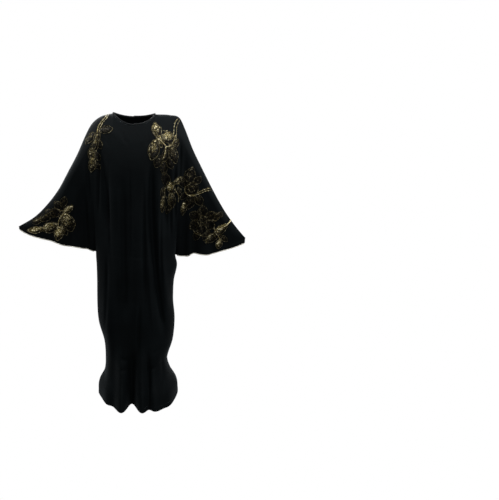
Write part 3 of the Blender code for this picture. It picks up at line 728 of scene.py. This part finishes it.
# %% Where the flowers lie
# kind, x, height, direction in degrees (0 is the wearer's left, 90 is up), length, width, tone
FLOWERS = {
    "left_shoulder": (
        ("disc", 0.161, 1.344, 0, 0.052, 0.050, 0.50),
        ("petal", 0.106, 1.374, 100, 0.070, 0.044, 0.41),
        ("petal", 0.092, 1.288, 256, 0.086, 0.054, 0.38),
        ("petal", 0.118, 1.326, 285, 0.050, 0.026, 0.50),
        ("petal", 0.182, 1.272, 286, 0.084, 0.044, 0.26),
        ("petal", 0.196, 1.312, 66, 0.040, 0.022, 0.25),
        ("petal", 0.146, 1.262, 262, 0.052, 0.028, 0.18),
        ("petal", 0.112, 1.230, 248, 0.048, 0.034, 0.09),
        ("petal", 0.140, 1.200, 268, 0.056, 0.032, 0.10),
        ("petal", 0.168, 1.222, 292, 0.044, 0.028, 0.07),
    ),
    "left_middle": (
        ("petal", 0.148, 1.140, 110, 0.060, 0.040, 0.01),
        ("leaf", 0.174, 1.102, 292, 0.054, 0.028, 0.66),
        ("petal", 0.136, 1.080, 262, 0.044, 0.030, 0.13),
        ("petal", 0.136, 1.026, 266, 0.066, 0.032, 0.41),
        ("petal", 0.178, 1.044, 276, 0.064, 0.032, 0.37),
        ("petal", 0.164, 1.000, 250, 0.040, 0.022, 0.15),
        ("leaf", 0.208, 1.136, 36, 0.044, 0.018, 0.51),
        ("petal", 0.216, 1.084, 292, 0.038, 0.020, 0.24),
        ("disc", 0.279, 1.096, 0, 0.060, 0.056, 0.20),
        ("petal", 0.264, 1.154, 70, 0.078, 0.054, 0.11),
        ("petal", 0.236, 1.124, 132, 0.052, 0.038, 0.08),
        ("petal", 0.304, 1.136, 40, 0.042, 0.030, 0.08),
        ("petal", 0.276, 1.034, 252, 0.064, 0.046, 0.15),
        ("petal", 0.314, 1.042, 304, 0.054, 0.040, 0.21),
        ("petal", 0.242, 1.062, 220, 0.040, 0.026, 0.05),
        ("petal", 0.240, 0.998, 266, 0.056, 0.026, 0.53),
    ),
    "left_hem": (
        ("disc", 0.337, 0.934, 0, 0.042, 0.040, 0.16),
        ("petal", 0.337, 0.974, 90, 0.054, 0.050, 0.11),
        ("petal", 0.372, 0.954, 30, 0.052, 0.046, 0.14),
        ("petal", 0.371, 0.912, -32, 0.052, 0.046, 0.16),
        ("petal", 0.335, 0.893, -92, 0.054, 0.050, 0.14),
        ("petal", 0.300, 0.914, 210, 0.052, 0.046, 0.10),
        ("petal", 0.301, 0.956, 150, 0.052, 0.046, 0.08),
        ("disc", 0.406, 0.952, 0, 0.032, 0.030, 0.20),
        ("petal", 0.426, 0.962, 24, 0.032, 0.022, 0.16),
        ("petal", 0.437, 0.886, 218, 0.072, 0.042, 0.55),
        ("petal", 0.394, 0.844, 212, 0.068, 0.040, 0.36),
        ("petal", 0.362, 0.856, 232, 0.046, 0.032, 0.14),
        ("petal", 0.312, 0.858, 250, 0.044, 0.032, 0.08),
        ("petal", 0.428, 0.812, 262, 0.040, 0.030, 0.66),
        ("petal", 0.452, 0.838, 320, 0.036, 0.020, 0.22),
    ),
    "right_shoulder": (
        ("petal", -0.136, 1.370, 8, 0.052, 0.040, 0.15),
        ("petal", -0.208, 1.330, 240, 0.054, 0.036, 0.22),
        ("petal", -0.174, 1.336, 262, 0.046, 0.026, 0.29),
        ("petal", -0.186, 1.292, 250, 0.052, 0.032, 0.26),
        ("petal", -0.164, 1.304, 290, 0.036, 0.022, 0.09),
        ("leaf", -0.200, 1.252, 282, 0.052, 0.026, 0.37),
        ("petal", -0.176, 1.248, 300, 0.038, 0.022, 0.09),
        ("petal", -0.198, 1.206, 262, 0.054, 0.036, 0.36),
        ("disc", -0.192, 1.230, 0, 0.022, 0.020, 0.55),
        ("petal", -0.174, 1.202, 310, 0.030, 0.018, 0.13),
    ),
    "right_hem": (
        ("petal", -0.336, 1.018, 70, 0.042, 0.028, 0.09),
        ("petal", -0.358, 0.996, 132, 0.048, 0.036, 0.13),
        ("leaf", -0.316, 0.984, 38, 0.046, 0.022, 0.72),
        ("petal", -0.322, 0.924, 292, 0.084, 0.066, 0.51),
        ("disc", -0.378, 0.966, 0, 0.038, 0.036, 0.17),
        ("petal", -0.404, 0.960, 150, 0.044, 0.034, 0.13),
        ("petal", -0.432, 0.938, 178, 0.050, 0.034, 0.17),
        ("petal", -0.466, 0.920, 196, 0.038, 0.026, 0.22),
        ("petal", -0.400, 0.892, 196, 0.070, 0.052, 0.53),
        ("petal", -0.364, 0.866, 258, 0.060, 0.042, 0.75),
        ("petal", -0.340, 0.882, 300, 0.044, 0.026, 0.37),
        ("leaf", -0.474, 0.877, 10, 0.072, 0.024, 0.92),
    ),
}
# stems and scrolls as lines of (x, height), then the radius and the tone
STEMS = {
    "left_shoulder": (
        (((0.118, 1.352), (0.130, 1.322), (0.148, 1.300), (0.144, 1.270), (0.134, 1.236)), 0.0020, 0.66),
        (((0.148, 1.300), (0.166, 1.300), (0.186, 1.324), (0.196, 1.356)), 0.0018, 0.56),
        (((0.193, 1.322), (0.200, 1.350), (0.200, 1.380), (0.206, 1.406), (0.220, 1.428)),
         0.0015, 0.28),
        (((0.180, 1.344), (0.187, 1.366), (0.189, 1.394), (0.198, 1.420), (0.212, 1.436)),
         0.0016, 0.36),
        (((0.136, 1.376), (0.146, 1.372), (0.158, 1.376)), 0.0014, 0.49),
    ),
    "left_middle": (
        (((0.252, 1.118), (0.244, 1.094), (0.254, 1.070), (0.280, 1.060), (0.304, 1.070)), 0.0017, 0.50),
        (((0.304, 1.074), (0.324, 1.084), (0.350, 1.094), (0.376, 1.098)), 0.0016, 0.58),
        (((0.300, 1.066), (0.326, 1.074), (0.352, 1.085), (0.382, 1.088)), 0.0015, 0.45),
        (((0.186, 1.112), (0.200, 1.122), (0.214, 1.124)), 0.0014, 0.48),
        (((0.188, 1.098), (0.204, 1.080), (0.214, 1.052), (0.212, 1.028)), 0.0015, 0.53),
        (((0.150, 1.104), (0.140, 1.090), (0.146, 1.066), (0.156, 1.050)), 0.0014, 0.40),
    ),
    "left_hem": (
        (((0.452, 0.898), (0.464, 0.908), (0.478, 0.920), (0.494, 0.932)), 0.0030, 0.80),
        (((0.412, 0.872), (0.400, 0.892), (0.404, 0.912)), 0.0015, 0.50),
        (((0.410, 0.864), (0.426, 0.846), (0.430, 0.828)), 0.0016, 0.70),
        (((0.292, 0.884), (0.304, 0.868), (0.330, 0.856), (0.356, 0.848)), 0.0014, 0.32),
        (((0.390, 0.936), (0.402, 0.930), (0.416, 0.938), (0.418, 0.954)), 0.0014, 0.50),
    ),
    "right_shoulder": (
        (((-0.128, 1.446), (-0.140, 1.424), (-0.158, 1.402), (-0.170, 1.378), (-0.174, 1.352)),
         0.0020, 0.53),
        (((-0.119, 1.446), (-0.130, 1.424), (-0.148, 1.402), (-0.160, 1.378), (-0.166, 1.356)),
         0.0017, 0.41),
        (((-0.170, 1.350), (-0.180, 1.326), (-0.184, 1.300)), 0.0016, 0.45),
        (((-0.186, 1.284), (-0.190, 1.262), (-0.192, 1.240)), 0.0016, 0.37),
    ),
    "right_hem": (
        (((-0.332, 0.968), (-0.350, 0.950), (-0.362, 0.926), (-0.366, 0.894)), 0.0018, 0.69),
        (((-0.330, 0.974), (-0.350, 0.978), (-0.368, 0.984)), 0.0015, 0.40),
        (((-0.392, 0.974), (-0.420, 0.952), (-0.450, 0.932), (-0.480, 0.920)), 0.0014, 0.35),
        (((-0.440, 0.882), (-0.426, 0.888), (-0.412, 0.896)), 0.0015, 0.64),
    ),
}

# %% [markdown]
# A tree of the cloth's faces answers where a straight line meets the cloth. Shrinkwrap would move
# whole pieces on to it; the tree also gives the normals, which the padding needs. One tree holds
# both panels, so that a stem can run over the arm line.

# %% Finding the cloth
# lines start this far off the cloth, and the front view's lines this far in front
CAST_FROM = 0.06
VIEW_FROM = 1.0
# a flower lies square to the mean of the cloth this far round its middle
SQUARE_OVER = 0.012
# above the arm line a stem takes the cloth nearest to here, just in front of the seam plane
NEAR_FRONT = -0.01


def cloth_search(*sides):
    """A tree of these panels' faces, with their points numbered one panel after the other."""
    points = [grids[face][0].reshape(-1, 3) for face in sides]
    quads = [grid_faces(grids[face][2], face) + i * len(points[0]) for i, face in enumerate(sides)]
    return BVHTree.FromPolygons(np.concatenate(points).tolist(), np.concatenate(quads).tolist())


cloth_tree = cloth_search(FRONT, BACK)
front_tree = cloth_search(FRONT)


def on_cloth(points, toward):
    """Where lines through these points meet the front cloth, with the normals there; a point
    whose line misses takes the nearest place on the cloth."""
    places = np.empty_like(points)
    normals = np.empty_like(points)
    for i, start in enumerate(points - toward * CAST_FROM):
        hit = front_tree.ray_cast(start.tolist(), toward.tolist(), 2 * CAST_FROM)
        if hit[0] is None:
            hit = cloth_tree.find_nearest(points[i].tolist())
        places[i], normals[i] = hit[:2]
    return places, normals


def front_view(x, height):
    """What a line from straight in front meets at x and height."""
    start = (x, -VIEW_FROM, height - GARMENT_LENGTH)
    return front_tree.ray_cast(start, (0.0, 1.0, 0.0), 2 * VIEW_FROM)


def front_place(x, height):
    """The cloth's place and mean normal where the front view shows x and height."""
    hits = [front_view(x + dx * SQUARE_OVER, height + dz * SQUARE_OVER)
            for dx, dz in ((0, 0), (1, 0), (-1, 0), (0, 1), (0, -1))]
    found = [(np.array(hit[0]), np.array(hit[1])) for hit in hits if hit[0] is not None]
    return found[0][0], unit(np.mean([normal for place, normal in found], axis=0))


print("half way down, the front stands",
      round(-float(front_place(0.0, GARMENT_LENGTH / 2)[0][1]), 3), "m forward")

# %% [markdown]
# A centre is a round with small lobes, a leaf an oval with two points, and a petal an oval with
# one point, narrower at its base and a little wavy. Each is padded like a low cushion with a
# groove along its midrib, and the padding ends in a short skirt that goes down into the cloth.

# %% Outlines of petals, leaves and centres
# lobes of a centre and waves of a petal: how many, and how deep in shares of the size
LOBES = 9
LOBE_DEPTH = 0.035
WAVES = 5
WAVE_DEPTH = 0.03
# how wide a point is in radians, how far it is drawn out, and how a leaf and a base narrow
POINT_SPREAD = 0.42
LEAF_POINT = 0.16
LEAF_NARROWING = 0.1
PETAL_POINT = 0.17
BASE_NARROWING = 0.34


def petal_outline(kind, theta, length, width):
    """Flat outline round the petal's middle: an oval, drawn out to a point at its tip; a leaf
    has two points, and a petal is narrower at its base."""
    u = np.cos(theta) * length / 2
    v = np.sin(theta) * width / 2
    if kind == "disc":
        lobes = 1 + LOBE_DEPTH * np.cos(LOBES * theta)
        return u * lobes, v * lobes
    tip = np.exp(-(np.minimum(theta, 2 * np.pi - theta) / POINT_SPREAD) ** 2)
    base = np.exp(-((theta - np.pi) / POINT_SPREAD) ** 2)
    if kind == "leaf":
        return u * (1 + LEAF_POINT * (tip + base)), v * (1 - LEAF_NARROWING * (tip + base))
    narrow = 1 - BASE_NARROWING * (1 - np.cos(theta)) / 2
    wavy = 1 + WAVE_DEPTH * np.cos(WAVES * theta)
    return u * (1 + PETAL_POINT * tip) * wavy, v * narrow * wavy


# %% A padded petal
PETAL_RINGS = 6
PETAL_TURNS = 40
# height of the padding, its share at the edge, how deep the skirt goes, and the midrib's groove
PADDING = 0.0013
EDGE_PADDING = 0.35
TUCKED = 0.0004
MIDRIB_DEPTH = 0.4
MIDRIB_WIDTH = 0.06
MIDRIB_END = 0.9
# the side of each petal painted lighter, as if the light came from there, in degrees as in the table
PAINTED_LIGHT_FROM = 125


def petal_body(kind, place, normal, direction, length, width):
    """A padded petal as a closed body: rings of points from its middle to its edge, a short
    skirt down into the cloth, and a flat underside. Also gives each point's flat place, its
    share of the way out, and how far it lies towards the lit side, from -1 to 1."""
    angle = math.radians(direction)
    flat_u = np.array([math.cos(angle), 0.0, math.sin(angle)])
    along = unit(flat_u - normal * (flat_u @ normal))
    across = np.cross(along, normal)
    theta = np.arange(PETAL_TURNS) * 2 * np.pi / PETAL_TURNS
    edge_u, edge_v = petal_outline(kind, theta, length, width)
    rho = np.arange(1, PETAL_RINGS + 1)[:, None] / PETAL_RINGS
    u = np.concatenate([[0.0], (rho * edge_u).ravel()])
    v = np.concatenate([[0.0], (rho * edge_v).ravel()])
    share = np.concatenate([[0.0], np.repeat(rho.ravel(), PETAL_TURNS)])
    cushion = np.sqrt(np.clip(1 - share ** 3, 0, 1))
    dome = PADDING * (EDGE_PADDING + (1 - EDGE_PADDING) * cushion)
    if kind != "disc":
        groove = np.exp(-(v / (MIDRIB_WIDTH * width)) ** 2) * (share < MIDRIB_END)
        dome -= MIDRIB_DEPTH * PADDING * groove
    flat = place + u[:, None] * along + v[:, None] * across
    base, normals = on_cloth(flat, -normal)
    top = base + normals * dome[:, None]
    rim = slice(1 + (PETAL_RINGS - 1) * PETAL_TURNS, None)
    under = base[rim] - normals[rim] * TUCKED
    middle_under = base[:1] - normals[:1] * TUCKED
    points = np.concatenate([top, under, middle_under])
    turn = np.arange(PETAL_TURNS)
    following = (turn + 1) % PETAL_TURNS
    none = np.full(PETAL_TURNS, -1)
    faces = [np.stack([np.zeros(PETAL_TURNS, int), 1 + following, 1 + turn, none], -1)]
    for ring_index in range(PETAL_RINGS):
        inner = 1 + ring_index * PETAL_TURNS
        faces.append(np.stack([inner + turn, inner + following, inner + PETAL_TURNS + following,
                               inner + PETAL_TURNS + turn], -1))
    last = 1 + PETAL_RINGS * PETAL_TURNS
    middle = np.full(PETAL_TURNS, len(points) - 1)
    faces.append(np.stack([middle, last + turn, last + following, none], -1))
    # how far each point lies towards the side painted lighter
    raised = math.radians(PAINTED_LIGHT_FROM) - angle
    lit = u / (length / 2) * math.cos(raised) - v / (width / 2) * math.sin(raised)
    flat_uv = np.stack([u, v], -1)
    parts = [np.concatenate([each, each[rim], each[:1]]) for each in (flat_uv, share, lit)]
    return points, np.concatenate(faces), *parts, (along, across, edge_u, edge_v)


# %% Outline cords and stems
CORD_RADIUS = 0.0012
CORD_DISTANCE = 0.0042
CORD_SIDES = 6
# how high the middle of a cord or a stem stands on the cloth, in radii
SEATED = 0.5
# a stem's sides, how flat it is, its points for each mark, and its blunt thinner ends
STEM_SIDES = 8
STEM_FLATNESS = 0.8
STEM_POINTS = 10
STEM_BLUNTNESS = 8
STEM_THINNEST = 0.05


def cord_round(place, normal, frame_of):
    """A closed cord round a petal, a little way out from its edge."""
    along, across, edge_u, edge_v = frame_of
    out = 1 + CORD_DISTANCE / np.hypot(edge_u, edge_v)
    flat = place + (edge_u * out)[:, None] * along + (edge_v * out)[:, None] * across
    line, normals = on_cloth(flat, -normal)
    return sweep(line + normals * CORD_RADIUS * SEATED, normals,
                 round_section(CORD_RADIUS, CORD_SIDES), closed=True)


def stem_body(places, radius):
    """A stem through places of the front view, thinner at its ends; it keeps to the nearest
    cloth, so it can run over the arm line."""
    marks = np.array(places)
    t = np.linspace(0, 1, len(marks))
    fine = np.linspace(0, 1, STEM_POINTS * len(marks))
    hits = []
    for x, height in zip(smooth_curve(fine, t, marks[:, 0]), smooth_curve(fine, t, marks[:, 1])):
        hit = front_view(x, height)
        if hit[0] is None:
            hit = cloth_tree.find_nearest((x, NEAR_FRONT, height - GARMENT_LENGTH))
        hits.append(hit)
    line, normals = np.array([hit[0] for hit in hits]), np.array([hit[1] for hit in hits])
    ends = np.sqrt(np.clip(1 - (2 * fine - 1) ** STEM_BLUNTNESS, STEM_THINNEST, 1))
    return sweep(line + normals * radius * SEATED, normals,
                 round_section(radius, STEM_SIDES, STEM_FLATNESS), ends)


# %% [markdown]
# Each cluster becomes one piece. Its mesh carries three values: tone is how pale the thread is,
# with painted light added on each petal, rising towards the side that faces the light; share is
# the way out from a petal's middle, and cord marks the outlines and stems. The UVs are flat places
# on each petal, so that the stitches can slant away from its midrib.

# %% The embroidered clusters
# how far painted light raises and lowers the tone across a petal, and how much of the tone an outline
# keeps
PAINTED_LIGHT_RANGE = 0.85
OUTLINE_TONE = 0.34
OUTLINE_LEAST = 0.2


def whipped_thread(points, faces, tone):
    """A cord's or a stem's body with its values: one tone, and marked as a cord."""
    plain = np.zeros(len(points))
    return points, faces, np.zeros((len(points), 2)), plain + tone, plain, plain + 1


clusters = {}
for name, elements in FLOWERS.items():
    bodies = []
    for kind, x, height, direction, length, width, tone in elements:
        place, normal = front_place(x, height)
        points, faces, uv, share, lit, frame_of = petal_body(kind, place, normal, direction,
                                                             length, width)
        # a petal's tone rises towards one side: painted light
        bodies.append((points, faces, uv, tone * (1 + PAINTED_LIGHT_RANGE * lit), share, 0 * share))
        bodies.append(whipped_thread(*cord_round(place, normal, frame_of),
                                     OUTLINE_TONE * (OUTLINE_LEAST + tone)))
    for places, radius, tone in STEMS[name]:
        bodies.append(whipped_thread(*stem_body(places, radius), tone))
    starts = np.cumsum([0] + [len(body[0]) for body in bodies])
    faces = np.concatenate([np.where(body[1] >= 0, body[1] + start, -1)
                            for body, start in zip(bodies, starts)])
    points, uv, tones_with_painted_light, shares, cords = [np.concatenate([body[k] for body in bodies])
                                        for k in (0, 2, 3, 4, 5)]
    clusters[name] = mesh_piece(name + "_flowers", points, faces, uv,
                                tone=np.clip(tones_with_painted_light, 0, 1), share=shares, cord=cords)
    print(name, "flowers:", len(elements), "petals and centres,", len(STEMS[name]), "stems,",
          len(faces), "faces")

# %% [markdown]
# Nodes can be linked by hand in the shader editor, but long sums are easier to read as
# arithmetic. A Wire wraps one output of a node; sums, products and differences of Wires add Math
# nodes to the same material.

# %% A small language for materials
class Wire:
    """One output socket of a material's node."""

    def __init__(self, tree, socket=None):
        self.tree = tree
        self.socket = socket

    def add(self, kind, inputs=(), output=0, **settings):
        """Adds any node, sets its properties, feeds its inputs and gives one of its outputs."""
        node = self.tree.nodes.new(kind)
        for key, value in settings.items():
            setattr(node, key, value)
        for key, value in dict(inputs).items():
            if isinstance(value, Wire):
                self.tree.links.new(value.socket, node.inputs[key])
            else:
                node.inputs[key].default_value = value
        return Wire(self.tree, node.outputs[output])

    def math(self, operation, *values):
        """One Math node on these values."""
        return self.add("ShaderNodeMath", enumerate(values), operation=operation)

    def __add__(self, other):
        return self.math("ADD", self, other)

    def __sub__(self, other):
        return self.math("SUBTRACT", self, other)

    def __rsub__(self, other):
        return self.math("SUBTRACT", other, self)

    def __mul__(self, other):
        return self.math("MULTIPLY", self, other)

    def __truediv__(self, other):
        return self.math("DIVIDE", self, other)

    __radd__ = __add__
    __rmul__ = __mul__

    def between(self, low, high):
        """0 at low, 1 at high, smooth and held outside."""
        return self.add("ShaderNodeMapRange", {"Value": self, "From Min": low, "From Max": high},
                        interpolation_type="SMOOTHSTEP")

    def wave(self):
        """0 to 1 and back, once in each full turn of this angle."""
        return self.math("SINE", self) * 0.5 + 0.5

    def mix(self, dark, pale):
        """A colour between two, by this value."""
        return self.add("ShaderNodeMix", {"Factor": self, 6: dark, 7: pale}, output=2,
                        data_type="RGBA")


class Finish:
    """A material with one Principled shader."""

    def __init__(self, name, **constants):
        self.material = bpy.data.materials.new(name)
        self.material.use_nodes = True
        self.tree = self.material.node_tree
        self.shader = self.tree.nodes["Principled BSDF"]
        self.start = Wire(self.tree)
        for key, value in constants.items():
            self.shader.inputs[key.replace("_", " ")].default_value = value

    def noise(self, scale, detail=2.0):
        """Soft noise from 0 to 1 in the piece's own place; scale is its lumps in a metre."""
        place = self.start.add("ShaderNodeTexCoord", output=3)
        return self.start.add("ShaderNodeTexNoise", {"Vector": place, "Scale": scale,
                                                     "Detail": detail})

    def flat(self, axis):
        """One of the UV coordinates, in metres on the flat cloth."""
        spot = self.start.add("ShaderNodeTexCoord", output=2)
        return self.start.add("ShaderNodeSeparateXYZ", {0: spot}, output=axis)

    def value(self, name):
        """A named value stored on the mesh's points."""
        return self.start.add("ShaderNodeAttribute", output=2, attribute_name=name)

    def feed(self, **wires):
        """Feeds the shader's inputs."""
        for key, wire in wires.items():
            self.tree.links.new(wire.socket, self.shader.inputs[key.replace("_", " ")])

    def bump(self, height, distance):
        """A bump from a height of 0 to 1 that stands for this many metres."""
        self.feed(Normal=self.start.add("ShaderNodeBump", {"Height": height, "Distance": distance}))


# %% [markdown]
# Black crepe is matt: almost no reflection, a faint bluish bloom where it is seen at a slant, and
# a pebbled grain of under a millimetre. Two rows of stitches hold each hem. A picture of cloth
# could be laid on it; noise in the piece's own place has no joins and needs no file.

# %% Crepe
TURN = 2 * math.pi
CREPE_DARK = (0.0005, 0.0009, 0.0011, 1)
CREPE_PALE = (0.0014, 0.0022, 0.0026, 1)
CREPE_RELIEF = 0.00035
# lumps in a metre
GRAIN = 1500.0
PEBBLES = 620.0
PATCHES = 9.0
# distances of the rows from the hem, half their width, and the length of a stitch
HEM_ROWS = (0.0030, 0.0190)
ROW_HALF_WIDTH = 0.0005
STITCH = 0.0026

crepe = Finish("black_crepe", Roughness=0.72, Sheen_Weight=0.045, Sheen_Roughness=0.30,
               Sheen_Tint=(0.78, 0.92, 1.0, 1), Specular_IOR_Level=0.03)
grain = crepe.noise(GRAIN, 3.0)
pebbles = crepe.noise(PEBBLES, 1.0)
patches = crepe.noise(PATCHES, 3.0).between(0.35, 0.65)
hem = crepe.value("from_hem")
thread = crepe.flat(0) / STITCH
dash = thread.math("FRACT", thread).between(0.12, 0.30)
rows = 0.0
for row in HEM_ROWS:
    rows = hem.math("COMPARE", hem, row, ROW_HALF_WIDTH) * dash + rows
crepe.feed(Base_Color=(patches * 0.35 + grain * 0.65).mix(CREPE_DARK, CREPE_PALE),
           Roughness=0.66 + 0.14 * pebbles)
crepe.bump(grain * 0.5 + pebbles * 0.5 + rows * 1.2, CREPE_RELIEF)

# %% [markdown]
# The neck's strip is satin, a little smoother than the crepe, with fine ribs across it. The piping
# is twisted, so its stripes climb round the cord as they run along it. Both patterns read the
# lengths that the swept mesh carries; a noise alone could not follow the turns of a cord.

# %% Satin and silver
SATIN_DARK = (0.0016, 0.0022, 0.0025, 1)
SATIN_PALE = (0.0034, 0.0044, 0.0048, 1)
SATIN_RIB = 0.0011
SATIN_RELIEF = 0.00012
SATIN_FLECKS = 300.0
SILVER_DARK = (0.16, 0.15, 0.12, 1)
SILVER_PALE = (0.70, 0.68, 0.60, 1)
SILVER_TWIST = 0.0024
SILVER_RELIEF = 0.0005
SILVER_FLECKS = 240.0

satin = Finish("satin_binding", Roughness=0.48, Specular_IOR_Level=0.06, Sheen_Weight=0.03)
satin.feed(Base_Color=satin.noise(SATIN_FLECKS).mix(SATIN_DARK, SATIN_PALE))
satin.bump((satin.flat(0) / SATIN_RIB * TURN).wave(), SATIN_RELIEF)

silver = Finish("silver_piping", Roughness=0.40, Metallic=0.25, Specular_IOR_Level=0.4)
strands = ((silver.flat(0) / SILVER_TWIST + silver.flat(1)) * TURN).wave()
silver.feed(Base_Color=(strands * 0.7 + silver.noise(SILVER_FLECKS) * 0.3).mix(SILVER_DARK, SILVER_PALE))
silver.bump(strands, SILVER_RELIEF)

# %% [markdown]
# The flowers are satin stitch in metallic thread. Stitches slant to both sides of a petal's
# midrib, and black cloth shows between the bundles, which is what makes the gold sparkle; that
# cloth is painted darker than the crepe, as shade. Cover is how much of the cloth the thread hides,
# more where the tone is pale, so more on the side of a petal painted lighter, and less in a dark
# line inside a petal's edge. The outlines and stems are whipped more densely.

# %% Gold thread
# spacing of the bundles and of the threads in them, and how steeply they slant
BUNDLE = 0.0021
THREAD = 0.0006
SLANT = 0.8
# lumps in a metre, and how far, in radians, the first pushes the bundles out of line
WANDER = 210.0
WANDER_BY = 11.0
FLECKS = 240.0
PATCHY = 125.0
GLINTS = 150.0
# the dark line's share of the way out, and half its width
BORDER = 0.76
BORDER_HALF_WIDTH = 0.08
# each colour where the tone is 0 and where it is 1
BRONZE = ((0.014, 0.011, 0.004, 1), (0.20, 0.162, 0.062, 1))
PALE_GOLD = ((0.070, 0.061, 0.032, 1), (0.84, 0.76, 0.50, 1))
# the black cloth seen between the threads, painted darker than the crepe as shade between them
CLOTH_AND_SHADE_BETWEEN = (0.0008, 0.0007, 0.0005, 1)
THREAD_RELIEF = 0.0004

gold = Finish("gold_thread", Roughness=0.36, Metallic=0.6, Specular_IOR_Level=0.08)
# tone holds the thread's paleness and, on petals, painted light towards one side
tone = gold.value("tone")
from_midrib = gold.flat(1)
slant = gold.flat(0) - from_midrib.math("ABSOLUTE", from_midrib) * SLANT
bundles = (slant * (TURN / BUNDLE) + gold.noise(WANDER) * WANDER_BY).wave()
threads = (slant * (TURN / THREAD)).wave()
flecks = gold.noise(FLECKS).between(0.46, 0.58)
patchy = gold.noise(PATCHY).between(0.43, 0.60)
glints = gold.noise(GLINTS, 1.0).between(0.50, 0.66)
border = tone.math("COMPARE", gold.value("share"), BORDER, BORDER_HALF_WIDTH)
# real gaps between the stitches, plus painted light where the tone is raised
cover_and_painted_light = patchy * 0.32 + flecks * 0.36 + bundles * 0.20 + tone * 0.75 - border * 0.5
whipped = gold.value("cord") * (patchy * 0.40 + 0.30)
shine = (cover_and_painted_light.between(0.50, 1.20) + whipped).between(0.0, 1.0)
# the thread's colour, paler where the tone carries painted light
rich = glints.mix(tone.mix(*BRONZE), tone.mix(*PALE_GOLD))
gold.feed(Base_Color=shine.mix(CLOTH_AND_SHADE_BETWEEN, rich), Roughness=0.30 + 0.25 * flecks)
gold.bump(bundles * 0.7 + threads * 0.3, THREAD_RELIEF)
print("materials:", [material.name for material in bpy.data.materials])

# %% [markdown]
# Every piece rides on the robe's only body, takes the place of the plain walls it stands for,
# and takes its finish. The cut of each panel is what would lie flat on the table.


def dress(piece, finish, slot, *nodes):
    """Gives a piece its finish and its place in the model."""
    piece.data.materials.append(finish.material)
    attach(piece, "root")
    if nodes:
        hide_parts(*nodes)


dress(panels[FRONT], crepe, "black_crepe", "front_panel")
dress(panels[BACK], crepe, "black_crepe", "back_panel")
dress(binding, satin, "satin_binding", "neck_binding")
for side, name in ((-1, "right"), (1, "left")):
    dress(pipings[side], silver, "silver_piping",
          name + "_sleeve_piping_front", name + "_sleeve_piping_back")
for piece in clusters.values():
    dress(piece, gold, "gold_thread")

# %% [markdown]
# The photo is a cut-out on white, so the world looks plain white but lights the robe less. Of the
# four soft lamps, the key above and in front gives the folds their form, one above each sleeve
# grazes the shoulders and arm lines, and one stands behind for the back.

# %% Light and background
AMBIENT = 0.40
# place, aim, disc size and power of each lamp
LAMPS = {
    "key": ((1.1, -2.4, 1.6), (0.0, 0.0, -0.5), 2.0, 90.0),
    "left_side": ((1.3, -0.14, 1.1), (0.3, 0.0, -0.30), 0.6, 62.0),
    "behind": ((-0.9, 2.4, 1.5), (0.0, 0.0, -0.5), 1.4, 110.0),
    "right_side": ((-1.3, -0.14, 1.1), (-0.3, 0.0, -0.30), 0.6, 62.0),
}

world = bpy.data.worlds.new("white")
world.use_nodes = True
world.node_tree.nodes["Background"].inputs[0].default_value = (1, 1, 1, 1)
seen = world.node_tree.nodes.new("ShaderNodeLightPath")
strength = world.node_tree.nodes.new("ShaderNodeMapRange")
strength.inputs["To Min"].default_value = AMBIENT
world.node_tree.links.new(seen.outputs["Is Camera Ray"], strength.inputs["Value"])
world.node_tree.links.new(strength.outputs[0], world.node_tree.nodes["Background"].inputs[1])
bpy.context.scene.world = world
bpy.context.scene.view_settings.view_transform = "Standard"

for name, (place, target, size, power) in LAMPS.items():
    light = bpy.data.lights.new(name, "AREA")
    light.shape = "DISK"
    light.size = size
    light.energy = power
    back = -unit(np.array(target) - np.array(place))
    across = unit(np.cross((0, 0, 1), back))
    stand(name, light, across, np.cross(back, across), back, place)
print("lamps:", list(LAMPS))
